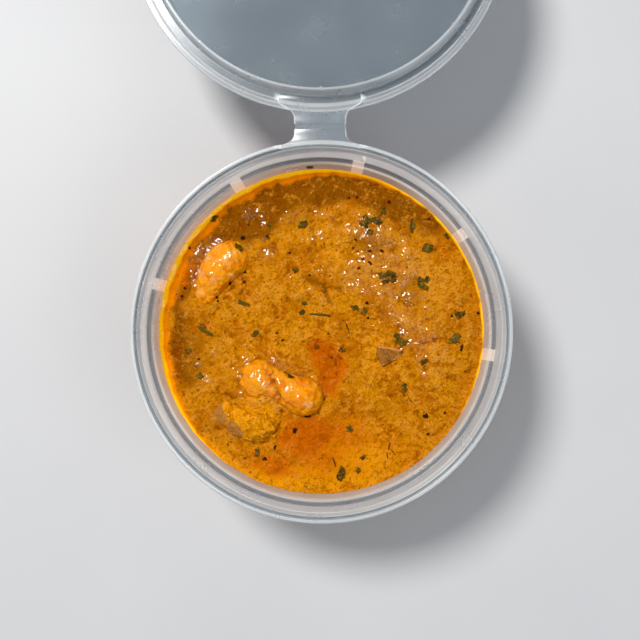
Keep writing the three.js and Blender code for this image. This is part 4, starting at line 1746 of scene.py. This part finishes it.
@dataclass
class OnionPiece:
    """Flat cornered piece of onion, just above the sauce."""

    corners: tuple[Pair, ...] = (
        (17.9, -4.7), (25.5, -6.0), (24.8, -8.0), (19.2, -11.0), (17.4, -7.8))
    top: float = 34.3
    thickness: float = 3.2
    worn: float = 0.45

    def build(self, finish: bpy.types.Material) -> None:
        """Makes the piece: its corners, drawn up, worn and made uneven."""
        Bench.deselect()
        bpy.ops.mesh.primitive_circle_add(vertices=len(self.corners), radius=MM,
                                          fill_type="NGON")
        piece = Bench.named("onion_flesh")
        bottom = self.top - self.thickness
        grown = np.array(self.corners)
        grown = grown + (grown - grown.mean(axis=0)) * 0.08
        Bench.reshape(piece, np.array([(x, y, bottom) for x, y in grown]) * MM)
        with Bench.editing():
            bpy.ops.mesh.extrude_region_move(
                TRANSFORM_OT_translate={"value": (0, 0, self.thickness * MM)})
            Bench.face_outward()
            bpy.ops.mesh.bevel(offset=self.worn * MM, segments=3)
            Bench.select_all()
            bpy.ops.mesh.quads_convert_to_tris()
            bpy.ops.mesh.subdivide(number_cuts=5)
        points = Bench.points(piece) / MM
        for row in points:
            row[2] += 0.4 * noise.noise(Vector((row[0] * 0.45, row[1] * 0.45, 5.0))) \
                + 0.15 * noise.noise(Vector((row[0] * 1.6, row[1] * 1.6, 1.0)))
            spot = Vector(row) * 0.9
            row[0] += 0.3 * noise.noise(spot + Vector((3, 9, 2)))
            row[1] += 0.3 * noise.noise(spot + Vector((1, 4, 8)))
        Bench.reshape(piece, points * MM)
        x, y = points[:, 0], points[:, 1]
        edges = np.zeros_like(x)
        for start, end, strength in ((grown[0], grown[1], 1.0), (grown[1], grown[2], 0.5),
                                     (grown[2], grown[3], 0.7)):
            run = end - start
            away = np.abs((x - start[0]) * run[1] - (y - start[1]) * run[0]) / np.hypot(*run)
            edges = np.maximum(edges, strength * (1 - ease(away, 0.3, 1.1)))
        Bench.mark(piece, "edge", edges)
        Bench.settle(piece, 60.0)
        Bench.declare(piece, TUB_BODY, "onion_flesh", finish, "onion_piece")


@dataclass
class OilFilm:
    """Thin oil that fills the hollows: a smooth sheet that the sauce pokes through."""

    food: FoodMap
    cells: int = 220
    thickness: float = 0.6
    margin: float = 0.12
    least: float = 0.32
    sunk: float = 0.42
    risen: float = 0.3

    def build(self, finish: bpy.types.Material) -> None:
        """Makes the film and keeps it where it lies above the sauce."""
        food = self.food
        reach = food.tub.wall_radius(food.level + 0.3) - 0.05
        Bench.deselect()
        bpy.ops.mesh.primitive_grid_add(x_subdivisions=self.cells, y_subdivisions=self.cells,
                                        size=2 * reach * MM)
        piece = Bench.named("oil_film")
        points = Bench.points(piece) / MM
        x, y = points[:, 0], points[:, 1]
        oily = food.mark("oily", x, y)
        sheet = food.level + food.swell(x, y) - self.sunk + self.risen * ease(oily, 0.45, 1.0)
        points[:, 2] = sheet
        Bench.reshape(piece, points * MM)
        kept = (sheet - food.height(x, y) > -self.margin) & (oily > self.least) \
            & (np.hypot(x, y) < reach - 0.4)
        with Bench.editing():
            Bench.pick(piece, ~kept)
            bpy.ops.mesh.delete(type="VERT")
            Bench.select_all()
            bpy.ops.mesh.delete_loose(use_verts=True, use_edges=True, use_faces=False)
        Bench.modify(piece, "SOLIDIFY", thickness=self.thickness * MM, offset=-1)
        Bench.settle(piece, 60.0)
        Bench.declare(piece, TUB_BODY, "chili_oil", finish)


def lying(place: Vector, normal: Vector, turn: float, size: Spot) -> Matrix:
    """Where a template goes that is stretched, turned and laid on the food.

    Args:
        place: the spot, in millimetres.
        normal: which way the food faces there.
        turn: turn about that direction, in radians.
        size: how much the template is stretched along each of its axes.

    Returns:
        The template's place.
    """
    return (Matrix.Translation(place * MM) @ UP.rotation_difference(normal).to_matrix().to_4x4()
            @ Matrix.Rotation(turn, 4, "Z") @ Matrix.Diagonal((*size, 1)))


@dataclass(frozen=True)
class Scrap:
    """One scrap on the food.

    Args:
        across: pixel from the picture's left edge.
        down: pixel from its top edge.
        length: in millimetres.
        width: in millimetres.
        turn: degrees anticlockwise from the picture's right.
    """

    across: float
    down: float
    length: float
    width: float
    turn: float = 0.0

    def lay(self, template: bpy.types.Object, food: FoodMap, lift: float,
            thickness: float) -> bpy.types.Object:
        """Lays a copy of a template that is a millimetre in size on the food.

        Args:
            template: what is copied.
            food: what it lies on.
            lift: height of its middle over the food, in millimetres.
            thickness: how thick the copy is, as a share of the template's thickness.

        Returns:
            The copy.
        """
        place, normal = food.drop(self.across, self.down)
        return Bench.copy(template, lying(place + normal * lift, normal, math.radians(self.turn),
                                          (self.length, self.width, thickness)))


@dataclass
class Herbs:
    """Chopped leaves and bits of stem that lie on the food and on the wall."""

    food: FoodMap
    # One scrap in each row, with its values in the order of Scrap.
    leaves: tuple[Row, ...] = (
        (215, 218, 3, 1.2, 38), (269, 225, 1.5, 1, 60), (267, 237, 1, 0.9, 0),
        (239, 248, 3.2, 1.8, -52), (243, 303, 4, 1.4, -18), (303, 224, 2.8, 1.6, 30),
        (364, 224, 3.2, 2.4, 70), (371, 220, 3.4, 1.8, 20), (378, 221, 2.6, 1.8, -40),
        (366, 217, 1.8, 1.4, 0), (384, 275, 3, 1.8, 10), (391, 273, 3, 1.4, -10),
        (394, 278, 2.6, 1.6, 60), (386, 281, 2.4, 1.2, 30), (428, 248, 3, 2.2, 10),
        (421, 281, 2.6, 2, 50), (424, 286, 2.6, 1.8, -30), (427, 279, 1.8, 1.2, 80),
        (356, 308, 2.6, 1.4, -20), (364, 311, 2.8, 1.8, 70), (412, 226, 3, 1.2, 80),
        (456, 337, 3.2, 2.4, 50), (452, 341, 2, 1.4, 0), (403, 342, 3.8, 1.8, -8),
        (397, 336, 2.2, 1.4, -60), (291, 377, 2, 1.5, -10), (341, 474, 4.8, 1.7, 78),
        (404, 387, 3, 1.6, 80), (208, 332, 3.6, 1.4, -30), (202, 327, 2.2, 1.5, 60),
        (256, 333, 3, 1.6, 30), (461, 314, 3.4, 1.8, 20), (302, 312, 2, 1, 50),
        (305, 303, 1.6, 1, 10), (363, 457, 1.8, 1.2, 40), (350, 429, 2, 1.2, -40),
        (343, 350, 2, 1.2, 0), (296, 270, 1.8, 1.2, 30), (358, 470, 1.8, 0.9, 80),
        (384, 211, 1.6, 1, 60), (447, 236, 2, 1.1, -50), (370, 232, 1.7, 1.2, 0),
        (317, 347, 1.6, 1, 20), (189, 351, 1.8, 1.4, 20), (200, 376, 2.2, 1.4, -30),
        (424, 361, 2.6, 2, 70), (257, 452, 2.4, 1.4, 80))
    stems: tuple[Row, ...] = (
        (381, 214, 4.6, 0.5, 62), (412, 222, 2.2, 0.45, 84), (389, 447, 3.2, 0.5, 80),
        (393, 452, 2.6, 0.35, -50), (334, 462, 3, 0.5, -70), (347, 327, 4.4, 0.4, -70),
        (387, 455, 2, 0.35, -80), (320, 315, 6.6, 0.7, -4), (404, 395, 3.2, 0.4, -50),
        (410, 400, 2.4, 0.3, -55), (326, 290, 2.2, 0.35, 60), (256, 452, 2.8, 0.5, 88))
    wall_leaf_angle: float = 93.6
    wall_leaf_height: float = 37.2
    leaf_lift: float = 0.22
    stem_lift: float = 0.08

    def leaf(self, kind: int) -> bpy.types.Object:
        """One scrap of leaf, a millimetre long and wide, thin, torn and curled; kind varies it."""
        Bench.deselect()
        bpy.ops.mesh.primitive_uv_sphere_add(segments=14, ring_count=12, radius=0.55 * MM,
                                             rotation=(0, math.pi / 2, 0))
        leaf = Bench.named("leaf")
        bpy.ops.object.transform_apply(location=False, rotation=True, scale=False)
        points = Bench.points(leaf) / MM
        for row in points:
            torn = noise.noise(Vector((row[0] * 3.2, row[1] * 3.2, 7.3 * kind)))
            row[:2] *= 1 + 0.6 * torn
        points[:, 1] *= 1 - 0.5 * points[:, 0]
        points[:, 2] = points[:, 2] * 0.3 + (0.1 + 0.15 * kind) * np.abs(points[:, 1]) \
            - 0.2 * points[:, 0] ** 2
        Bench.reshape(leaf, points * MM)
        return leaf

    def stem(self) -> bpy.types.Object:
        """One stem, a millimetre long and thick, bent."""
        Bench.deselect()
        bpy.ops.mesh.primitive_cylinder_add(vertices=7, radius=0.5 * MM, depth=MM,
                                            rotation=(0, math.pi / 2, 0))
        stem = Bench.named("stem")
        bpy.ops.object.transform_apply(location=False, rotation=True, scale=False)
        with Bench.editing():
            for cut in (-0.3, -0.1, 0.1, 0.3):
                Bench.select_all()
                bpy.ops.mesh.bisect(plane_co=(cut * MM, 0, 0), plane_no=(1, 0, 0))
        points = Bench.points(stem) / MM
        points[:, 1:] *= (1 - 0.5 * np.abs(points[:, 0]))[:, None]
        points[:, 1] += 0.9 * (0.25 - points[:, 0] ** 2)
        Bench.reshape(stem, points * MM)
        return stem

    def build(self, finish: bpy.types.Material) -> None:
        """Makes all herbs as one piece."""
        leaves, stem = [self.leaf(kind) for kind in range(3)], self.stem()
        scraps = [Scrap(*row).lay(leaves[i % 3], self.food, self.leaf_lift, 1.0)
                  for i, row in enumerate(self.leaves)]
        scraps += [Scrap(*row).lay(stem, self.food, self.stem_lift, row[3])
                   for row in self.stems]
        angle = math.radians(self.wall_leaf_angle)
        radius = self.food.tub.wall_radius(self.wall_leaf_height) - 0.18
        place = Vector((radius * math.cos(angle), radius * math.sin(angle),
                        self.wall_leaf_height)) * MM
        inward = Vector((-math.cos(angle), -math.sin(angle), 0.16))
        scraps.append(Bench.copy(leaves[0], Matrix.Translation(place)
                                 @ inward.to_track_quat("Z", "Y").to_matrix().to_4x4()
                                 @ Matrix.Rotation(math.radians(70), 4, "Z")
                                 @ Matrix.Diagonal((2.6, 1.8, 0.8, 1))))
        Bench.discard(*leaves, stem)
        piece = Bench.join("herbs", scraps)
        Bench.settle(piece, 50.0)
        Bench.declare(piece, TUB_BODY, "herb_green", finish)


@dataclass
class Spices:
    """Dark seeds, chilli flakes and fine specks."""

    food: FoodMap
    seed: int = 4
    fine: int = 460
    reach: float = 49.6
    flake_lift: float = 0.1
    crumb_lift: float = 0.04
    # One flake in each row, with its values in the order of Scrap.
    named: tuple[Row, ...] = (
        (230, 283, 1.6, 0.6, 84), (243, 238, 1.6, 1.2, 20), (249, 225, 0.8, 0.7, 0),
        (356, 240, 1.2, 0.6, -50), (353, 248, 1, 0.5, 60), (370, 251, 1.6, 0.6, 0),
        (370, 263, 1.7, 0.7, -40), (359, 268, 1.3, 0.8, 20), (382, 251, 1.6, 0.7, -20),
        (363, 259, 0.9, 0.6, 0), (358, 251, 0.9, 0.4, 0), (367, 303, 1.2, 0.8, 0),
        (368, 318, 0.8, 0.7, 0), (429, 219, 1.2, 0.8, 0), (478, 313, 1, 0.8, 0),
        (349, 198, 1.1, 0.9, -20), (357, 197, 1.1, 0.9, 30), (389, 202, 1.1, 1, 0),
        (420, 278, 1, 0.8, 0), (308, 416, 2.4, 1.3, -20), (295, 430, 1.9, 1.2, 70),
        (275, 447, 1.6, 0.6, 68), (265, 459, 1.7, 1, 10), (324, 399, 1, 1, 0),
        (426, 416, 2, 1.3, -10), (445, 413, 0.9, 0.9, 0), (462, 347, 2.6, 0.9, 70),
        (244, 282, 1.2, 1.1, 0), (217, 297, 0.9, 0.6, 30), (218, 301, 0.8, 0.7, 0),
        (245, 272, 1.1, 0.8, 0), (277, 333, 1, 0.7, 0), (363, 458, 0.8, 0.6, 0),
        (283, 340, 1.2, 0.6, 30), (341, 349, 2, 0.7, 35), (332, 357, 0.8, 0.6, 0),
        (290, 253, 1, 0.6, 0), (190, 248, 0.8, 0.7, 0), (199, 359, 0.9, 0.7, 0),
        (185, 288, 0.8, 0.8, 0), (182, 296, 0.8, 0.8, 0), (310, 275, 0.8, 0.5, 0),
        (428, 434, 1, 0.8, 0), (452, 316, 1, 0.6, 0))

    def flake(self) -> bpy.types.Object:
        """One flake, a millimetre long, squashed and uneven."""
        Bench.deselect()
        bpy.ops.mesh.primitive_ico_sphere_add(subdivisions=2, radius=0.5 * MM)
        flake = Bench.named("flake")
        points = Bench.points(flake) / MM
        for row in points:
            row *= 1 + 0.9 * noise.noise(Vector(row) * 3.4)
        Bench.reshape(flake, points * MM)
        return flake

    def crumb(self) -> bpy.types.Object:
        """One fine crumb with few faces."""
        Bench.deselect()
        bpy.ops.mesh.primitive_ico_sphere_add(subdivisions=1, radius=0.5 * MM)
        crumb = Bench.named("crumb")
        with Bench.editing():
            bpy.ops.transform.resize(value=(1.3, 0.8, 0.7))
        return crumb

    def build(self, finish: bpy.types.Material) -> None:
        """Makes all spices as one piece."""
        flake, crumb = self.flake(), self.crumb()
        rng = np.random.default_rng(self.seed)
        pieces = [Scrap(*row).lay(flake, self.food, self.flake_lift, 0.5) for row in self.named]
        for _ in range(self.fine):
            radius, angle = self.reach * math.sqrt(rng.random()), rng.uniform(0, 2 * math.pi)
            place, normal = self.food.seat(radius * math.cos(angle), radius * math.sin(angle))
            size = float(rng.uniform(0.2, 0.5)) * (1 + 0.7 * float(rng.random() > 0.88))
            pieces.append(Bench.copy(crumb, lying(
                place + normal * self.crumb_lift, normal, float(rng.uniform(0, 6.3)),
                (size, size * float(rng.uniform(0.3, 0.9)), size * 0.6))))
        Bench.discard(flake, crumb)
        piece = Bench.join("spices", pieces)
        Bench.settle(piece, 40.0)
        Bench.declare(piece, TUB_BODY, "spice_dark", finish)


# ---------------------------------------------------------------------------------------------
# The whole
# ---------------------------------------------------------------------------------------------


SHRIMPS = (
    Shrimp("shrimp_left",
           ((-28.5, 23.0, 31.6), (-32.0, 20.2, 31.8), (-34.5, 16.1, 31.8), (-36.0, 12.1, 31.6)),
           (6.3, 6.0, 4.0), 0.26, 0.0,
           pale=((216, 246, 1.8), (207, 258, 1.8), (201, 273, 1.8), (199, 292, 1.6),
                 (226, 262, 1.4), (214, 280, 1.4), (234, 252, 1.2), (232, 276, 1.0)),
           bared=1.8, steep=0.15),
    Shrimp("shrimp_middle",
           ((-5.7, -20.4, 31.9), (-10.4, -18.6, 32.0), (-15.0, -16.8, 31.9), (-19.4, -15.1, 31.6)),
           (6.6, 5.7, 7.2), 0.36, 0.2, pale=((310, 405, 1.4),), bared=1.1, steep=0.3),
    Shrimp("shrimp_lower",
           ((-18.4, -29.8, 31.2), (-22.4, -29.4, 31.4), (-26.6, -27.8, 31.2),
            (-30.6, -25.6, 30.8)),
           (5.7, 5.7, 4.6), 0.4, 0.9,
           bare=((215, 408, 2.1), (220, 417, 2.0), (232, 426, 1.6), (237, 434, 2.2)),
           bared=0.9),
)

# Painted light and shade of the tub by radius: dark bands are painted shade, near-white bands
# painted highlights on the steps and lip, warm bands by the wall a painted reflection of the curry.
TUB_LIGHT_RINGS: tuple[tuple[float, Colour], ...] = (
    (44.0, (0.72, 0.74, 0.76)), (49.5, (0.78, 0.70, 0.62)), (51.5, (0.80, 0.72, 0.66)),
    (51.8, (0.98, 0.91, 0.85)), (52.5, (0.98, 0.93, 0.88)), (52.7, (0.30, 0.38, 0.45)),
    (53.2, (0.30, 0.38, 0.45)), (53.6, (0.74, 0.71, 0.69)), (55.1, (0.74, 0.70, 0.68)),
    (55.3, (1.0, 0.98, 0.96)), (56.0, (1.0, 0.98, 0.96)), (56.2, (0.34, 0.40, 0.45)),
    (56.8, (0.34, 0.40, 0.45)), (57.0, (0.92, 0.95, 0.96)), (58.0, (0.92, 0.95, 0.96)),
    (58.3, (0.40, 0.46, 0.51)), (60.0, (0.40, 0.46, 0.51)),
)

# Painted light and shade of the lid by radius: the dark panel and dark bands are painted shade, the
# near-white bands painted highlights on the plug ring and the edge.
LID_LIGHT_RINGS: tuple[tuple[float, Colour], ...] = (
    (40.0, (0.27, 0.33, 0.38)), (51.2, (0.27, 0.33, 0.38)), (51.7, (0.80, 0.84, 0.87)),
    (52.9, (0.80, 0.84, 0.87)), (53.1, (0.62, 0.67, 0.71)), (53.6, (0.62, 0.67, 0.71)),
    (53.8, (0.36, 0.41, 0.45)), (55.4, (0.36, 0.41, 0.45)), (55.7, (0.98, 0.99, 1.0)),
    (56.5, (0.98, 0.99, 1.0)), (56.8, (0.55, 0.60, 0.64)), (57.4, (0.55, 0.60, 0.64)),
    (57.6, (0.88, 0.91, 0.93)), (58.0, (0.88, 0.91, 0.93)), (58.3, (0.40, 0.46, 0.51)),
    (60.0, (0.40, 0.46, 0.51)),
)


def main() -> None:
    """Builds everything in order."""
    logging.basicConfig(level=logging.INFO, format="%(name)s: %(message)s")
    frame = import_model()
    LOG.info("frame has %d nodes", len(frame["nodes"]))
    studio, tub, lid = Studio(), Tub(), Lid()
    studio.build()
    tub.build(MilkyPlastic((0.0, 0.0), TUB_LIGHT_RINGS, tub.rib_angles,
                           filled=33.9).make("tub_plastic"))
    lid_plastic = MilkyPlastic((0.0, lid.centre_y), LID_LIGHT_RINGS, scuffed=0.3).make("lid_plastic")
    lid.build(lid_plastic)
    HingeStrip().build(lid_plastic)
    food = FoodMap(studio, tub, SHRIMPS)
    Curry(food).build(Sauce().make("sauce"))
    flesh = Flesh().make("shrimp_flesh")
    for shrimp in SHRIMPS:
        shrimp.build(food, flesh)
    OnionPiece().build(OnionFlesh().make("onion_flesh"))
    OilFilm(food).build(Oil().make("chilli_oil"))
    Herbs(food).build(Leaf().make("herb_leaf"))
    Spices(food).build(Spice().make("spice"))


if __name__ == "__main__":
    main()
